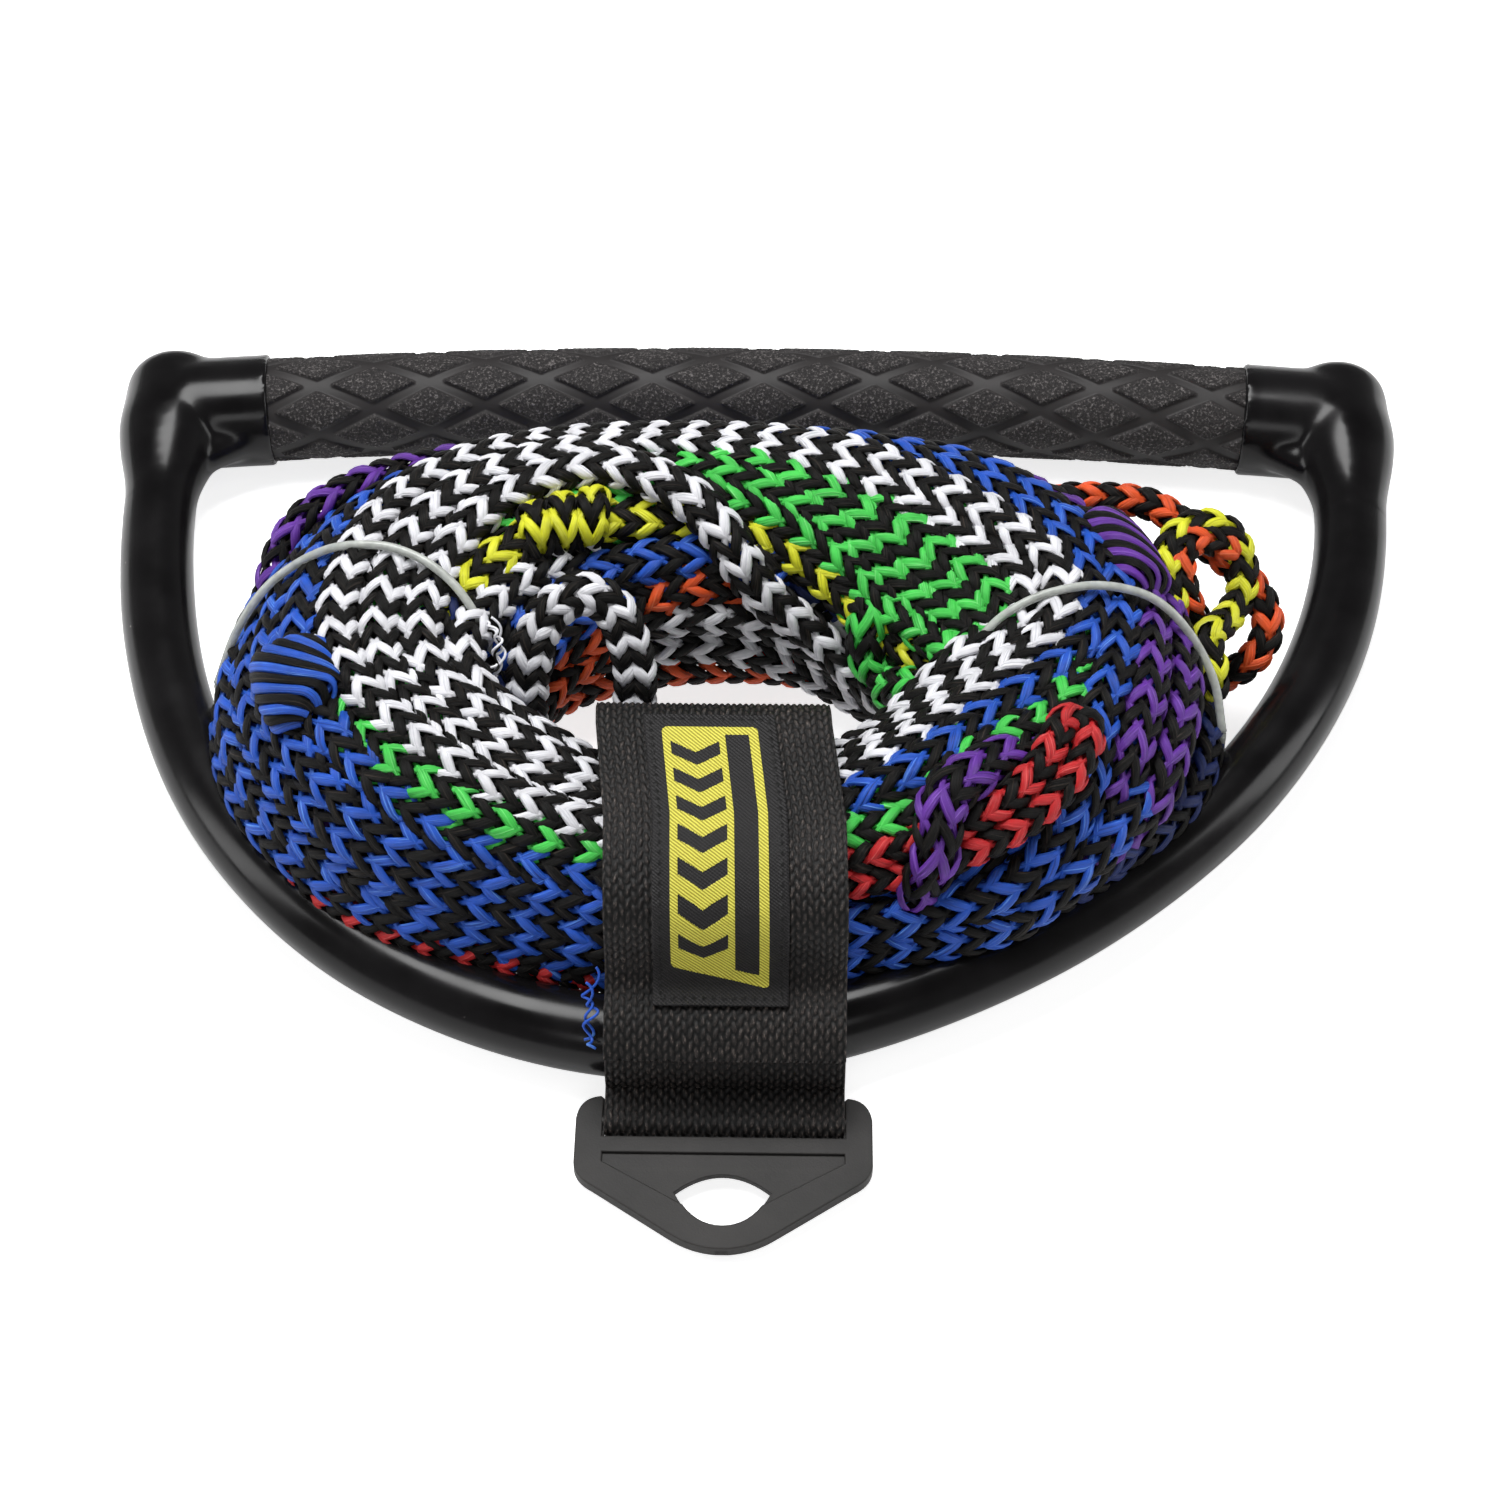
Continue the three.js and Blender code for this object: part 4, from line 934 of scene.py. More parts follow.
def stray_thread(name, places, radius, curl, curls, material):
    """A loose curly yarn end."""
    path = resample(catmull(places, 30), 0.25)[0]
    share = np.linspace(0, 2 * np.pi * curls, len(path))[:, None]
    path = path + curl * np.column_stack([np.sin(share), 0.4 * np.cos(share), np.cos(share * 0.7)])
    obj = closed_grid(name, rings(path, radius, 6), {"along": lengths(path), "across": None})
    finish_piece(obj, material, "handle")


# ------------------------------------------------------------------ bow and boots
def bow_half(side, shape):
    """One half of the bow's centre line, from a leg's root to the apex."""
    root = (side * BOW_HALF_WIDTH, 0, GRIP_AXIS_Z)
    pull, flare = shape["leg_pull"], shape["flare"]
    leg = (root[0] + side * pull * math.sin(flare), -pull * math.cos(flare), GRIP_AXIS_Z)
    apex = (BOW_APEX[0] + side * shape["apex_pull"], BOW_APEX[1], BOW_APEX[2])
    return bezier(root, leg, apex, BOW_APEX, 200)


def bar_points(from_x, to_x, step):
    x = np.linspace(from_x, to_x, max(int(abs(to_x - from_x) / step), 2))
    return np.column_stack([x, GRIP_SAGITTA * (1 - (x / BOW_HALF_WIDTH) ** 2), np.full(x.size, GRIP_AXIS_Z)])


def make_bow(material):
    left, right = bow_half(-1, BOW_LEFT), bow_half(1, BOW_RIGHT)[::-1]
    lead = [(-BOW_HALF_WIDTH, BOW_END_Y, GRIP_AXIS_Z)]
    tail = [(BOW_HALF_WIDTH, BOW_END_Y, GRIP_AXIS_Z)]
    path = resample(np.vstack([lead, left, right[1:], tail]), 1.2)[0]
    travelled = lengths(path)
    dip = BOW_RIPPLE * (np.sin(travelled / 9) + np.sin(travelled / 23 + 1))
    obj = closed_grid("bow_vinyl", rings(path, BOW_RADIUS + dip, 56))
    finish_piece(obj, material, "handle", ["bow_tube"])


def boot_leg(side, half):
    """Rings of the domed bulb at the grip, narrowing down the bow's leg."""
    dome = BOOT["dome"]
    angle = np.linspace(0.08, np.pi / 2, 8)
    down = resample(half[lengths(half) < BOOT["neck_length"]], 1.5)[0]
    share = lengths(down) / BOOT["neck_length"]
    share = np.clip((share - BOOT["narrows_from"]) / BOOT["narrows_over"], 0, 1)
    narrowing = share * share * (3 - 2 * share)
    cap = np.column_stack([
        np.full(angle.size, side * BOW_HALF_WIDTH),
        BOOT["dome_length"] - dome + dome * np.cos(angle),
        np.full(angle.size, GRIP_AXIS_Z),
    ])
    path = np.vstack([cap, down])
    radius = np.concatenate([
        BOOT["bulb"] * np.sin(angle), BOOT["bulb"] + (BOOT["neck"] - BOOT["bulb"]) * narrowing,
    ])
    return rings(path, radius, 40)


def boot_web(side):
    """The web in the inside corner, as lens-shaped slices that shrink from the leg to the collar's mouth."""
    leg_x, mouth_x = BOW_HALF_WIDTH - 3, BOOT["mouth"] + 3
    share = np.linspace(0, 1, 16)
    x = side * (leg_x + (mouth_x - leg_x) * share)
    reach = WEB["reach"] - WEB["narrowing"] * share ** 0.55
    slices = []
    angle = np.linspace(0, 2 * np.pi, 20, endpoint=False)
    for place, depth in zip(x, reach):
        half_depth = (depth - 2) / 2
        y = -2 - half_depth + half_depth * np.cos(angle)
        z = GRIP_AXIS_Z + WEB["half_height"] * np.sin(angle)
        slices.append(np.column_stack([np.full(angle.size, place), y, z]))
    return np.array(slices)


def make_boot(name, side, half, material):
    """Dipped vinyl: bulb, collar and web melted into one skin by a remesh and a smoothing."""
    collar = rings(bar_points(side * (BOW_HALF_WIDTH - 3), side * BOOT["mouth"], 1.5), BOOT["collar"], 40)
    shells = []
    for k, grid in enumerate((boot_leg(side, half), collar, boot_web(side))):
        shells.append(closed_grid(f"shell_{k}", grid))
    obj = fuse(name, shells, BOOT["voxel"])
    mesh = bmesh.new()
    mesh.from_mesh(obj.data)
    lip = (BOOT["mouth"] + BOOT["lip"]) * MM
    softened = [v for v in mesh.verts if abs(v.co.x - ORIGIN[0]) > lip]
    axes = {"use_axis_x": True, "use_axis_y": True, "use_axis_z": True}
    for _ in range(SMOOTHING["rounds"]):
        bmesh.ops.smooth_vert(mesh, verts=softened, factor=SMOOTHING["pull"], **axes)
    bmesh.ops.smooth_vert(mesh, verts=mesh.verts, factor=SMOOTHING["last_pull"], **axes)
    mesh.to_mesh(obj.data)
    mesh.free()
    finish_piece(obj, material, "handle", [name])


def fuse(name, shells, voxel):
    """Joins closed shells into one skin with a voxel remesh; the shells are used up."""
    joined = bmesh.new()
    for shell in shells:
        joined.from_mesh(shell.data)
    mesh = bpy.data.meshes.new(name)
    joined.to_mesh(mesh)
    joined.free()
    for shell in shells:
        bpy.data.objects.remove(shell)
    obj = place_object(name + "_skin", mesh)
    remesh = obj.modifiers.new("remesh", "REMESH")
    remesh.mode = "VOXEL"
    remesh.voxel_size = voxel * MM
    remesh.use_smooth_shade = True
    bpy.context.view_layer.update()
    evaluated = obj.evaluated_get(bpy.context.evaluated_depsgraph_get())
    final = bpy.data.meshes.new_from_object(evaluated)
    obj.modifiers.clear()
    obj.data = final
    return obj


# ------------------------------------------------------------------ grip
PAD_ROWS = 6                        # round the grip
PAD = {
    "length": 28, "width": 2 * math.pi * GRIP_RADIUS / PAD_ROWS, "first_x": 2, "first_angle": 141,
    "share": 0.755, "slope": 0.03, "crown": 0.1, "stipple": 0.05,
}
CHANNEL_DEPTH = 0.8


def make_grip(material):
    """The moulded sleeve: rows of raised lozenge pads with smooth channels between them."""
    path = bar_points(-GRIP_HALF_LENGTH, GRIP_HALF_LENGTH, 0.42)
    columns = 196
    angle = np.linspace(0, 2 * np.pi, columns, endpoint=False)
    x = path[:, :1]
    w = (angle - math.radians(PAD["first_angle"])) * GRIP_RADIUS
    a = np.abs((((x - PAD["first_x"]) / PAD["length"] + 0.5) % 1) - 0.5) * 2
    b = np.abs(((w[None, :] / PAD["width"] + 0.5) % 1) - 0.5) * 2
    off_centre = np.minimum(a + b, 2 - a - b)
    pad = np.clip((PAD["share"] + PAD["slope"] - off_centre) / (2 * PAD["slope"]), 0, 1)
    pad = pad * pad * (3 - 2 * pad)
    stipple = rng.normal(0, PAD["stipple"], pad.shape) * pad
    crown = PAD["crown"] * (1 - off_centre) * pad
    radius = GRIP_RADIUS - CHANNEL_DEPTH - PAD["crown"] + CHANNEL_DEPTH * pad + crown + stipple
    _, side, rise = frames_along(path, np.tile([0.0, 0, 1], (len(path), 1)))
    out = -side[:, None] * np.cos(angle)[None, :, None] + rise[:, None] * np.sin(angle)[None, :, None]
    grid = path[:, None] + out * radius[..., None]
    obj = closed_grid("grip_rubber_skin", grid, {"pad": pad})
    finish_piece(obj, material, "handle", ["grip_sleeve"])


# ------------------------------------------------------------------ keeper strap
def arc(y, z, radius, from_degrees, to_degrees, steps=24):
    angle = np.radians(np.linspace(from_degrees, to_degrees, steps))
    return np.column_stack([y + radius * np.cos(angle), z + radius * np.sin(angle)])


RISE_Y = -123.55
FLAP_SPLIT_Z = 20                   # the looks of the flap start this high up the hole's wall
BASE_LINE = np.vstack([
    arc(STRAP_BOW_Y, BOW_APEX[2], TAB_RADIUS, 92, 195),
    arc(HANGER["bar_y"], HANGER["bar_z"], 2.6, 75, 270),
    [(RISE_Y - 5, 1.1), (RISE_Y - 1.5, 2.2), (RISE_Y, 5), (RISE_Y, FLAP_SPLIT_Z + 0.5)],
])
FLAP_LINE = np.vstack([
    [(RISE_Y, FLAP_SPLIT_Z), (RISE_Y, 42), (RISE_Y - 0.8, 46.5), (RISE_Y - 2.9, 50), (RISE_Y - 6, 52.2),
     (RISE_Y - 10, 53), (-150, 53.3), (-164.4, 53), (-170, 51.9), (-175.5, 49.6), (-180, 46.6), (-182, 43),
     (-182.4, 38), (-182.4, 34), (-183.6, 30.5), (-186.2, 28.4)],
    arc(STRAP_BOW_Y, BOW_APEX[2], FLAP_RADIUS, 104, 146),
])
HINGE_LENGTH = 22.3                 # from the split to the flap's own start
STRAP_X = -4
STRAP_FACES = (-0.7, 0.7)           # how far the webbing's faces lie from its line


def soften(line, step, reach):
    """A polyline with even steps and its corners rounded."""
    line = resample(line, step)[0]
    width = max(int(reach / step), 1)
    padded = np.vstack([np.tile(line[:1], (width, 1)), line, np.tile(line[-1:], (width, 1))])
    window = np.ones(2 * width + 1) / (2 * width + 1)
    smooth = np.column_stack([np.convolve(column, window, "valid") for column in padded.T])
    smooth[0], smooth[-1] = line[0], line[-1]
    return smooth


def ribbon(name, line, centre_x, width, low, high, relief, step=0.24, both=True, values=None):
    """A closed strip along a (y, z) line. relief(s, u) is its height over the outer face; low and high are
    how far its faces lie from the line, towards the outside."""
    tangent = unit(np.gradient(line, axis=0))
    out = np.column_stack([tangent[:, 1], -tangent[:, 0]])
    s = lengths(line)[:, None]
    count = int(width / step)
    u = np.linspace(-width / 2, width / 2, count)[None, :]
    edge = np.clip((width / 2 - np.abs(u)) / 0.5, 0, 1)
    round_edge = np.sqrt(1 - (1 - edge) ** 2)
    middle = (low + high) / 2
    bump = relief(s, u)
    values = {"height": bump, **(values or {})}
    top = middle + (high - middle + bump) * round_edge
    bottom = middle + (low - middle - (bump if both else 0)) * round_edge
    offset = np.concatenate([top, np.broadcast_to(bottom, top.shape)[:, ::-1]], 1)
    across = np.concatenate([u, u[:, ::-1]], 1) + np.asarray(centre_x).reshape(-1, 1)
    y = line[:, :1] + out[:, :1] * offset
    z = line[:, 1:] + out[:, 1:] * offset
    grid = np.stack([np.broadcast_to(across, y.shape), y, z], -1)
    doubled = {}
    for key, value in values.items():
        under = value[:, ::-1] * (1 if both and key == "height" else 0)
        doubled[key] = np.concatenate([value, under], 1)
    return closed_grid(name, grid, doubled)


WEBBING_KNUCKLE = {"across": 1.3, "along": 2.6, "height": 0.55, "slant": 0.45}


def webbing(s, u):
    """Knuckles of a coarse weave: columns of slanting bumps, every second column shifted by half."""
    column = np.floor(u / WEBBING_KNUCKLE["across"])
    way = 1 - 2 * (column % 2)
    fs = (s / WEBBING_KNUCKLE["along"] + 0.5 * (column % 2)) % 1
    fu = (u / WEBBING_KNUCKLE["across"]) % 1
    lean = np.clip(fu + way * WEBBING_KNUCKLE["slant"] * (fs - 0.5), 0, 1)
    knuckle = np.sin(np.pi * lean) * np.sin(np.pi * fs) ** 0.7
    return WEBBING_KNUCKLE["height"] * (knuckle - 0.6) + 0.05 * np.sin(s / 6.1 + u / 9)


STRAP_SKEW = {"y": [-200, -182, -160, -134, -120], "x": [-3.9, -3.8, -4.4, -7.2, -7.9]}


def strap_centre(line):
    """The strap lies a little skew: its middle drifts to the left towards the hole."""
    return np.interp(line[:, 0], STRAP_SKEW["y"], STRAP_SKEW["x"])


def make_strap(material):
    line = soften(BASE_LINE, 0.42, 0.7)
    obj = ribbon("strap_base_webbing", line, strap_centre(line), STRAP_WIDTH, *STRAP_FACES, webbing)
    finish_piece(obj, material, "handle", ["strap_base"])
    line = soften(FLAP_LINE, 0.4, 1.6)
    obj = ribbon("strap_flap_webbing", line, strap_centre(line), STRAP_WIDTH, *STRAP_FACES, webbing)
    obj.data.materials.append(material)
    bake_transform(obj)
    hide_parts("strap_flap")
    return line


TAPE_WIDTH = 46.8
HOOKS = {"height": 0.25, "pitch": 1.3, "share": 0.35, "faces": (0.05, 0.7)}
NAP = {"height": 0.3, "faces": (0.3, 0.95)}


def hooks(s, u):
    """Rows of tiny hooks."""
    rows, columns = (np.sin(2 * np.pi * way / HOOKS["pitch"]) for way in (s, u))
    return HOOKS["height"] * (rows * columns > HOOKS["share"])


def fuzz(s, u):
    """Napped loops in no order."""
    return rng.uniform(0, NAP["height"], np.broadcast_shapes(s.shape, u.shape))


def make_tapes(hook_material, loop_material):
    hook_radius = TAB_RADIUS + 0.8 + 0.3
    line = soften(arc(STRAP_BOW_Y, BOW_APEX[2], hook_radius, 96, 142), 0.36, 0.3)
    obj = ribbon("hook_tape_rows", line, STRAP_X, TAPE_WIDTH, *HOOKS["faces"], hooks, 0.32, both=False)
    finish_piece(obj, hook_material, "handle", ["hook_tape"])
    line = soften(arc(STRAP_BOW_Y, BOW_APEX[2], hook_radius + 1.3, 102, 140), 0.36, 0.3)
    obj = ribbon("loop_tape_nap", line, STRAP_X, TAPE_WIDTH, *NAP["faces"], fuzz, 0.32, both=False)
    finish_piece(obj, loop_material, "flap", ["loop_tape"])


LABEL = {"width": 28.4, "from": 15.5, "to": 88, "offset_x": -1.0, "faces": (1.0, 1.75), "step": 0.2}
STITCH = {"inset": 1.5, "length": 2.1, "half_width": 0.28, "overrun": 0.3, "height": 0.28}
TWILL = {"pitch": 0.9, "height": 0.05}
YELLOW_HEIGHT = 0.12
PANEL = {"left": -10.4, "right": 10.1, "top": 19, "bottom_left": 77.5, "bottom_right": 84, "round": 1.3}
COLUMN = {"left": 2.9, "right": 8.1, "top": 21.2, "bottom": -3.4}
CHEVRONS = {"left": -8.9, "right": 1.6, "from": 22.5, "to": 73, "pitch": 7.4, "thick": 3.6, "slope": 0.6}


def label_zones(s, u):
    """1 where the label is yellow, 0 where it is black."""
    bottom = np.interp(u, [PANEL["left"], PANEL["right"]], [PANEL["bottom_left"], PANEL["bottom_right"]])
    middle, half = (PANEL["left"] + PANEL["right"]) / 2, (PANEL["right"] - PANEL["left"]) / 2
    dx = np.abs(u - middle) - half + PANEL["round"]
    dy = np.maximum(PANEL["top"] - s, s - bottom) + PANEL["round"]
    inside = np.hypot(np.maximum(dx, 0), np.maximum(dy, 0)) < PANEL["round"]
    column = (u > COLUMN["left"]) & (u < COLUMN["right"])
    column = column & (s > COLUMN["top"]) & (s < bottom + COLUMN["bottom"])
    fold = np.abs(u - (CHEVRONS["left"] + CHEVRONS["right"]) / 2) * CHEVRONS["slope"]
    down = s - CHEVRONS["from"] + fold - CHEVRONS["pitch"] / 2
    chevron = down % CHEVRONS["pitch"] < CHEVRONS["thick"]
    chevron = chevron & (u > CHEVRONS["left"]) & (u < CHEVRONS["right"])
    chevron &= (down > 0) & (down < CHEVRONS["to"] - CHEVRONS["from"])
    return (inside & ~column & ~chevron).astype(float)


def stitches(s, u, length, half_width):
    """A dashed seam, raised in short rounded stitches, inset from a patch's edge."""
    to_side, to_end = half_width - np.abs(u), np.minimum(s, length - s)
    seams = []
    for near, beside, way in ((to_side, to_end, s), (to_end, to_side, u)):
        seam = np.exp(-(((near - STITCH["inset"]) / STITCH["half_width"]) ** 2))
        seam = seam * (beside > STITCH["inset"] - STITCH["overrun"])
        seams.append(seam * np.clip(np.sin(2 * np.pi * way / STITCH["length"]) * 2, 0, 1))
    return np.maximum(*seams)


def make_label(flap_line, material):
    travelled = lengths(flap_line) - HINGE_LENGTH
    keep = (travelled > LABEL["from"]) & (travelled < LABEL["to"])
    line = resample(flap_line[keep], LABEL["step"])[0]
    s = lengths(line)[:, None] + LABEL["from"]
    half_width = LABEL["width"] / 2
    count = int(LABEL["width"] / LABEL["step"])
    u = np.linspace(-half_width, half_width, count)[None, :]
    zone = label_zones(s, u)
    seam = stitches(s - LABEL["from"], u, LABEL["to"] - LABEL["from"], half_width)

    def relief(_s, _u):
        twill = TWILL["height"] * np.sin(2 * np.pi * (s + u) / TWILL["pitch"])
        return twill + YELLOW_HEIGHT * zone + STITCH["height"] * seam

    centre = strap_centre(line) + LABEL["offset_x"]
    obj = ribbon("label", line, centre, LABEL["width"], *LABEL["faces"], relief, LABEL["step"], both=False,
                 values={"zone": zone, "seam": seam})
    finish_piece(obj, material, "flap", ["label_patch"])


# ------------------------------------------------------------------ hanger
SLOT_HALF = STRAP_WIDTH / 2 + 0.25
SLOT_FRONT = -207.5
RAISED_BAR = 4.0                    # between the slot and the sunk web
SUNK_WEB = {"half_height": 0.75, "bevel": 0.2, "narrower": 0.985}
RAISED_RIM = {"half_height": 1.5, "bevel": 0.35}
HANGER_BAR = {"radius": 1.5, "beyond_slot": 1.5}
HANGER_EYE = {"half": 10.1, "y": -220.8, "up": 4.4, "down": 8.1}


def quadratic(a, b, c, steps=10):
    t = np.linspace(0, 1, steps)[:, None]
    a, b, c = (np.asarray(p, float) for p in (a, b, c))
    return a * (1 - t) ** 2 + 2 * b * t * (1 - t) + c * t * t


def mirrored(points):
    return np.vstack([points, points[::-1] * (-1, 1)])


def hanger_outline():
    """Half the outline, from the slot round an arm's corner and down to the tip, then mirrored."""
    wide, back, tip = HANGER["half_width"], HANGER["back_y"], HANGER["tip_y"]
    half = np.vstack([
        [(SLOT_HALF, SLOT_FRONT), (SLOT_HALF, back - 0.5)],
        quadratic((SLOT_HALF + 0.6, back), (wide - 0.6, back - 0.4), (wide, back - 5.6)),
        quadratic((wide, SLOT_FRONT - 6.6), (wide - 0.2, SLOT_FRONT - 10), (wide - 4, SLOT_FRONT - 12.2)),
        quadratic((11, tip + 4.2), (6, tip + 0.7), (0, tip + 0.6))[:-1],
    ])
    return mirrored(half)


def eye_lower():
    """The hanging hole's lower edge, from its right corner to its lowest point."""
    half, y, down = HANGER_EYE["half"], HANGER_EYE["y"], HANGER_EYE["down"]
    return quadratic((half, y), (half * 0.62, y - down), (0, y - down))


def hanger_eye():
    """The lens-shaped hanging hole."""
    half, y, up = HANGER_EYE["half"], HANGER_EYE["y"], HANGER_EYE["up"]
    upper = quadratic((-half, y), (-half * 0.5, y + up), (0, y + up))
    lower = eye_lower()
    return np.vstack([upper[:-1], (upper[::-1] * (-1, 1))[:-1], lower[:-1], (lower[::-1] * (-1, 1))[:-1]])


def recess():
    """The sunk web above the eye, with the eye's own hole below it."""
    top = SLOT_FRONT - RAISED_BAR
    lower = eye_lower()
    inside = lower[lower[:, 1] < HANGER_EYE["y"] - 2.2]
    corner = np.array([(SLOT_HALF - 0.2, top - 2.2), (SLOT_HALF - 0.2, top)])
    half_way = np.vstack([[(0, top)], corner[::-1], inside])
    return np.vstack([half_way, (half_way[1:-1][::-1] * (-1, 1))])


def plate(name, outline, holes, half_height, bevel):
    """A flat plate with rounded edges from a closed outline and holes, about the hanger's middle."""
    curve = bpy.data.curves.new(name, "CURVE")
    curve.dimensions = "2D"
    curve.fill_mode = "BOTH"
    curve.extrude = (half_height - bevel) * MM
    curve.bevel_depth = bevel * MM
    curve.bevel_resolution = 3
    curve.offset = -bevel * MM
    for points in (outline, *holes):
        placed = to_frame(np.column_stack([points[:, 0] + HANGER["x"], points[:, 1], np.zeros(len(points))]))
        spline = curve.splines.new("POLY")
        spline.points.add(len(placed) - 1)
        flat_rows = np.column_stack([placed, np.ones(len(placed))])
        spline.points.foreach_set("co", flat_rows.ravel())
        spline.use_cyclic_u = True
    source = place_object(name, curve)
    bpy.context.view_layer.update()
    mesh = bpy.data.meshes.new_from_object(source.evaluated_get(bpy.context.evaluated_depsgraph_get()))
    bpy.data.objects.remove(source)
    return mesh


def make_hanger(material):
    """The moulded hanger: a sunk web in a raised frame, and the bar inside the webbing's wrap."""
    outline, eye = hanger_outline(), hanger_eye()
    layers = [
        plate("web", outline * (SUNK_WEB["narrower"], 1), [eye], SUNK_WEB["half_height"], SUNK_WEB["bevel"]),
        plate("rim", outline, [recess()], RAISED_RIM["half_height"], RAISED_RIM["bevel"]),
    ]
    joined = bmesh.new()
    for mesh in layers:
        joined.from_mesh(mesh)
    bmesh.ops.translate(joined, verts=joined.verts, vec=(0, 0, HANGER["bar_z"] * MM))
    mesh = bpy.data.meshes.new("hanger_moulding")
    joined.to_mesh(mesh)
    joined.free()
    obj = place_object("hanger_moulding", mesh)
    for polygon in mesh.polygons:
        polygon.use_smooth = False
    finish_piece(obj, material, "hanger", ["hanger"])
    reach = SLOT_HALF + HANGER_BAR["beyond_slot"]
    x = np.linspace(-reach, reach, 60) + HANGER["x"]
    path = np.column_stack([x, np.full(x.size, HANGER["bar_y"]), np.full(x.size, HANGER["bar_z"])])
    bar = closed_grid("hanger_bar", rings(path, HANGER_BAR["radius"], 20))
    finish_piece(bar, material, "hanger", ())


# ------------------------------------------------------------------ ties
TIES = {
    "left_tie": [(.735, 13, 4), (.725, 11.5, 4.6), (.711, 10.2, 5), (.698, 8.9, 5), (.69, 7.7, 5),
                 (.69, 6.7, 5), (.698, 5.8, 5), (.712, 5.1, 4.6), (.724, 4.5, 2), (.73, 3.4, -4),
                 (.73, 1, -4)],
    "right_tie": [(.242, 13, 4), (.256, 12, 5), (.268, 10.8, 5.6), (.275, 9.6, 5.8), (.277, 8.4, 5.8),
                  (.274, 7.2, 5.4), (.266, 6.2, 4.6), (.256, 5.4, 2), (.248, 4.4, -4), (.248, 1, -4)],
}
TIE = {"radius": 1.0, "under_z": 1.6, "inner_corner_z": 9, "outer_corner_z": 8}


def make_tie(name, places, material):
    """A clear vinyl tie laid over the coil and closed underneath it."""
    over = np.vstack([coil_skin(*(np.array([value]) for value in place))[0] for place in places])
    inner, outer = over[-1], over[0]
    under = [inner + (outer - inner) * share for share in (0.1, 0.35, 0.65, 0.92)]
    under = [(*point[:2], TIE["under_z"]) for point in under]
    inner_corner = (*inner[:2], TIE["inner_corner_z"])
    outer_corner = (*outer[:2], TIE["outer_corner_z"])
    path = catmull(np.vstack([over, [inner_corner], under, [outer_corner], over[:1]]), 14)
    path = resample(path, 0.8)[0][:-1]
    grid = rings(path, TIE["radius"], 14)
    obj = closed_grid(name + "_tube", grid, {"along": lengths(path)})
    finish_piece(obj, material, "handle", [name])


# ------------------------------------------------------------------ camera, light and floor
CAMERA = {"elevation": 50, "yaw": 0.8, "distance": 707.7, "target": (0, -96.8, 0)}
SENSOR = 36
LENS = 72.048
FLOOR = {"half": 12000, "z": -0.3}


def make_camera():
    elevation, yaw = math.radians(CAMERA["elevation"]), math.radians(CAMERA["yaw"])
    forward = np.array([-math.sin(yaw), math.cos(yaw), 0]) * math.cos(elevation)
    forward[2] = -math.sin(elevation)
    target = np.array(CAMERA["target"], float)
    data = bpy.data.cameras.new("camera")
    data.sensor_width = SENSOR
    data.lens = LENS
    data.clip_start = 0.01
    camera = place_object("camera", data)
    camera.location = to_frame(target - forward * CAMERA["distance"])
    right = np.array([math.cos(yaw), math.sin(yaw), 0])
    up = np.cross(right, forward)
    rotation = np.column_stack([right, up, -forward])
    camera.rotation_mode = "QUATERNION"
    camera.rotation_quaternion = Matrix(rotation.tolist()).to_quaternion()
    bpy.context.scene.camera = camera


def make_floor():
    recipe = Recipe("floor", 0.6, 0.2)
    soft = recipe.noise(recipe.object_point(), 1.5)
    recipe.colour(recipe.levels(soft, (0.3, 0.80), (0.7, 0.84)))
    recipe.shader.inputs["Emission Color"].default_value = (1, 1, 1, 1)
    seen = recipe.node("LightPath").outputs["Is Camera Ray"]
    glow = recipe.remap(seen, 0.0, 1.0, FLOOR_GLOW["light"], FLOOR_GLOW["seen"])
    recipe.feed(recipe.shader.inputs["Emission Strength"], glow)
    half, z = FLOOR["half"], FLOOR["z"]
    corners = np.array([[-half, -half, z], [half, -half, z], [half, half, z], [-half, half, z]], float)
    floor = make_mesh("floor", corners, [[0, 1, 2, 3]])
    floor.data.materials.append(recipe.material)


def area_light(name, place, target, size, watts):
    data = bpy.data.lights.new(name, "AREA")
    data.shape = "RECTANGLE"
    data.size, data.size_y = (side * MM for side in size)
    data.energy = watts
    light = place_object(name, data)
    light.location = to_frame(place)
    aim = Vector(to_frame(target)) - light.location
    light.rotation_mode = "QUATERNION"
    light.rotation_quaternion = aim.to_track_quat("-Z", "Y")


WORLD = {"zenith": 0.08, "horizon": 0.26, "fades_by": 0.8, "seen": 0.95}
FLOOR_GLOW = {"light": 0.3, "seen": 0.78}
LIT_MIDDLE = (0, -90, 20)
SOFTBOXES = [                       # name, place, size, watts
    ("top_softbox", (-120, 120, 950), (620, 460), 10.5),
    ("left_softbox", (-900, -150, 420), (260, 620), 2.2),
    ("right_softbox", (900, -50, 420), (260, 620), 2.0),
    ("front_softbox", (60, -950, 620), (800, 240), 1.5),
]


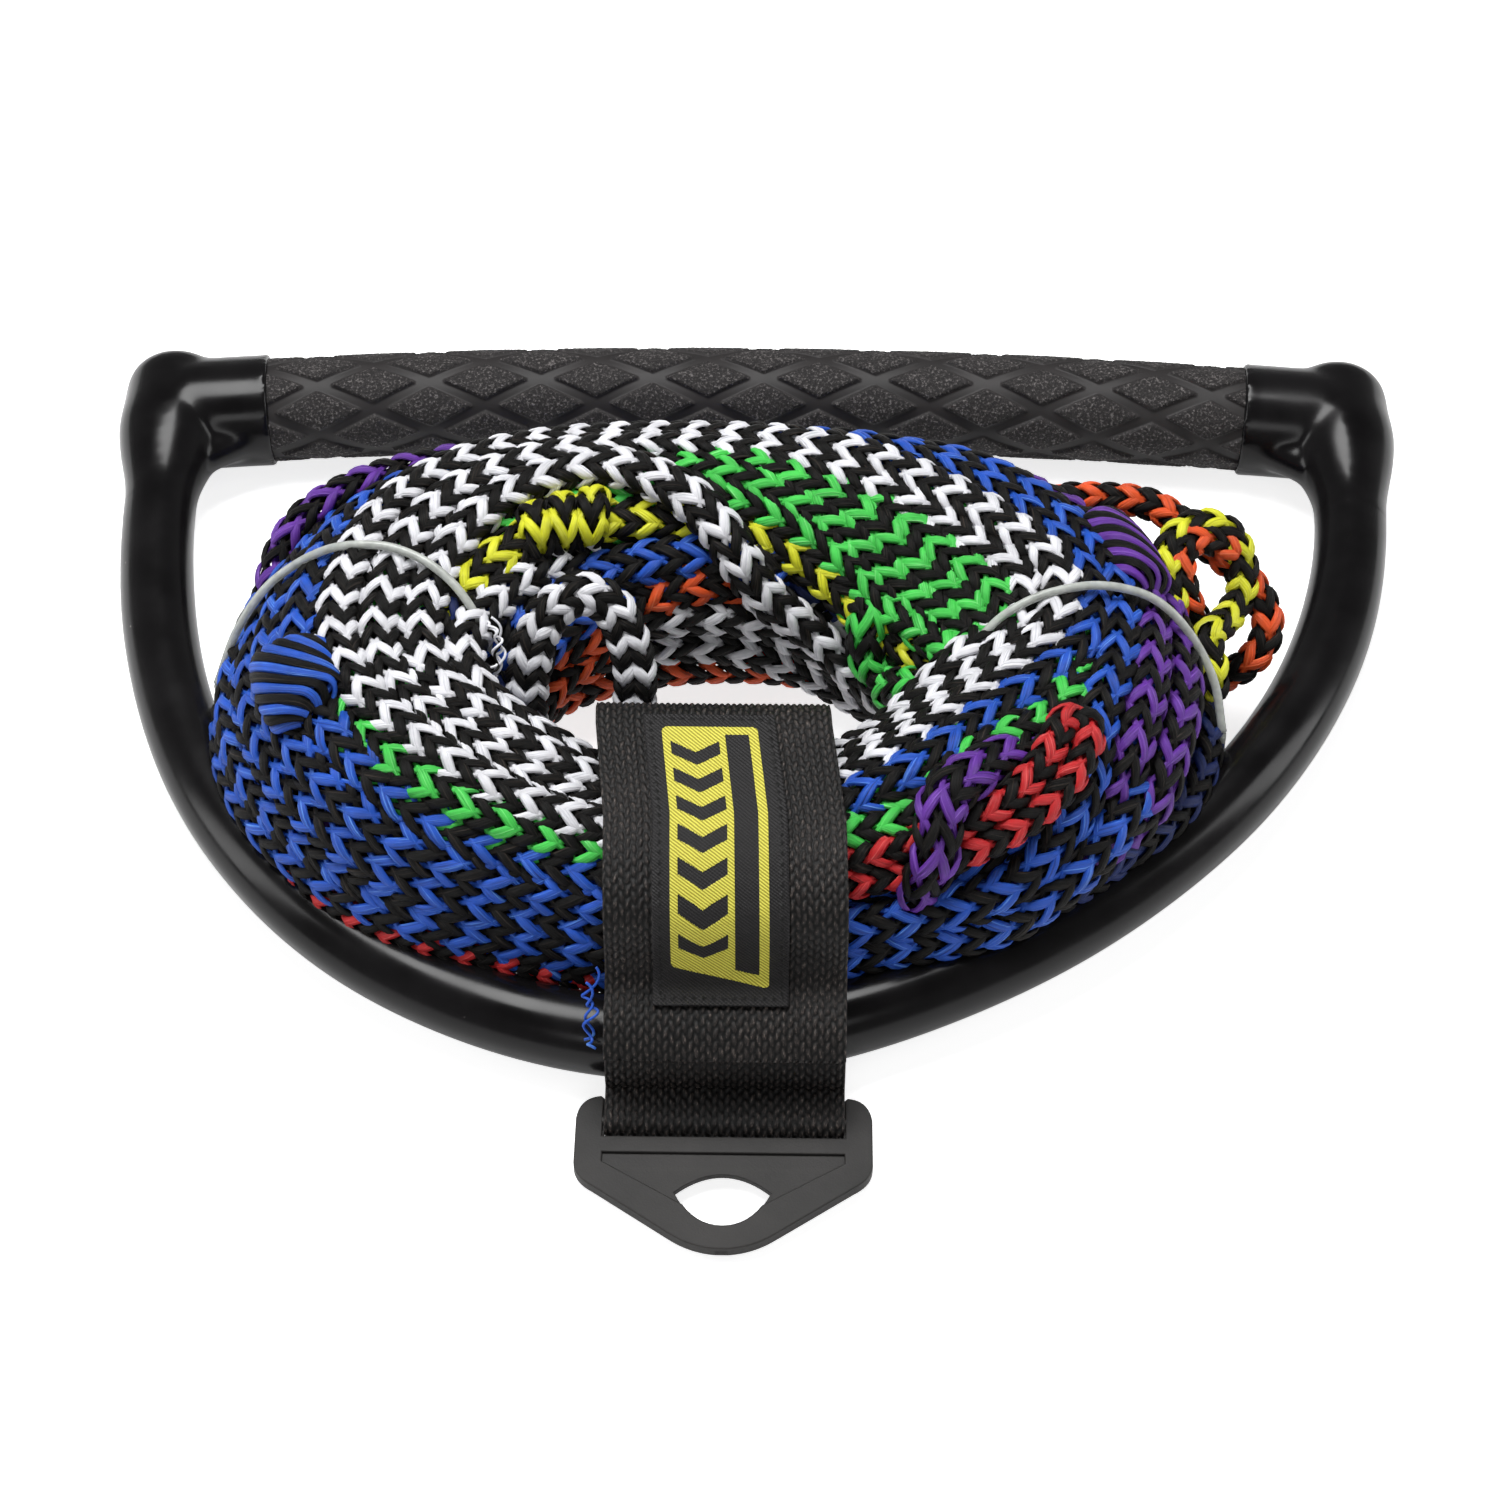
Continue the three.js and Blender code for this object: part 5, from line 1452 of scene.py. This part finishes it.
def make_light():
    """A dim dome that brightens towards the horizon, a big overhead softbox and three smaller ones."""
    world = bpy.data.worlds.new("studio")
    bpy.context.scene.world = world
    world.use_nodes = True
    tree = world.node_tree
    background = tree.nodes["Background"]
    direction = tree.nodes.new("ShaderNodeTexCoord").outputs["Generated"]
    split = tree.nodes.new("ShaderNodeSeparateXYZ")
    tree.links.new(direction, split.inputs[0])
    ramp = tree.nodes.new("ShaderNodeMapRange")
    for k, value in enumerate((0.0, 0.0, WORLD["fades_by"], WORLD["horizon"], WORLD["zenith"])):
        ramp.inputs[k].default_value = value
    tree.links.new(split.outputs["Z"], ramp.inputs[0])
    background.inputs["Color"].default_value = (1, 1, 1, 1)
    plain = tree.nodes.new("ShaderNodeMix")
    tree.links.new(tree.nodes.new("ShaderNodeLightPath").outputs["Is Camera Ray"], plain.inputs[0])
    tree.links.new(ramp.outputs[0], plain.inputs[2])
    plain.inputs[3].default_value = WORLD["seen"]
    tree.links.new(plain.outputs[0], background.inputs["Strength"])
    for name, place, size, watts in SOFTBOXES:
        area_light(name, place, LIT_MIDDLE, size, watts)
    bpy.context.scene.view_settings.view_transform = "Standard"


# ------------------------------------------------------------------ build
PIECE_NODES = {
    "line_white": ["line_white"], "line_blue": ["line_blue", "blue_splice"],
    "line_purple": ["line_purple", "purple_splice"], "line_orange": ["line_orange", "orange_loop"],
    "line_yellow": ["line_yellow", "yellow_splice", "yellow_loop"],
    "line_green": ["line_green", "green_loop"], "line_red": ["line_red", "red_loop"],
    "eye_loop": ["boat_end_loop"],
}


def dress(node, material):
    """Gives a CAD node, whose shape stays as it is, its own look."""
    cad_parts[node].data.materials.clear()
    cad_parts[node].data.materials.append(material)


def build_ropes(yarns):
    """Turns every filed yarn into meshes, one for each piece and colour."""
    named = {piece: piece.split("_")[-1] for piece in PIECE_NODES}
    named["eye_loop"] = "white"
    for (piece, shade), filed in strips_by_piece.items():
        stands_for = PIECE_NODES[piece] if named.get(piece) == shade else ()
        build_strips(piece, shade, filed, yarns[shade], stands_for)


yarns = make_yarn_materials()
vinyl = vinyl_material()
webbing_yarn = webbing_material()
clear_vinyl = tie_material()

lay_coil()
lay_loops()
build_ropes(yarns)
# the coil's hidden inside is black yarn, as painted shade between the passes
make_coil_core(yarns["black"])
for name, colour, places, curl, curls in THREADS:
    stray_thread(name, places, THREAD_RADIUS, curl, curls, yarns[colour])

make_bow(vinyl)
for boot, side, shape in (("left_end_boot", -1, BOW_LEFT), ("right_end_boot", 1, BOW_RIGHT)):
    make_boot(boot, side, bow_half(side, shape), vinyl)
make_grip(grip_material())

flap_line = make_strap(webbing_yarn)
make_tapes(tape_material("hook_tape", 1500.0, (90, 90, 94)), tape_material("loop_tape", 900.0, (66, 66, 70)))
make_label(flap_line, label_material())
make_hanger(hanger_material())
for tie, places in TIES.items():
    make_tie(tie, places, clear_vinyl)

dress("handle_tube", tube_material())
dress("float_core", foam_material())
plug = plug_material()
dress("left_end_plug", plug)
dress("right_end_plug", plug)
dress("bow_core_rope", core_material())

make_camera()
make_floor()
make_light()
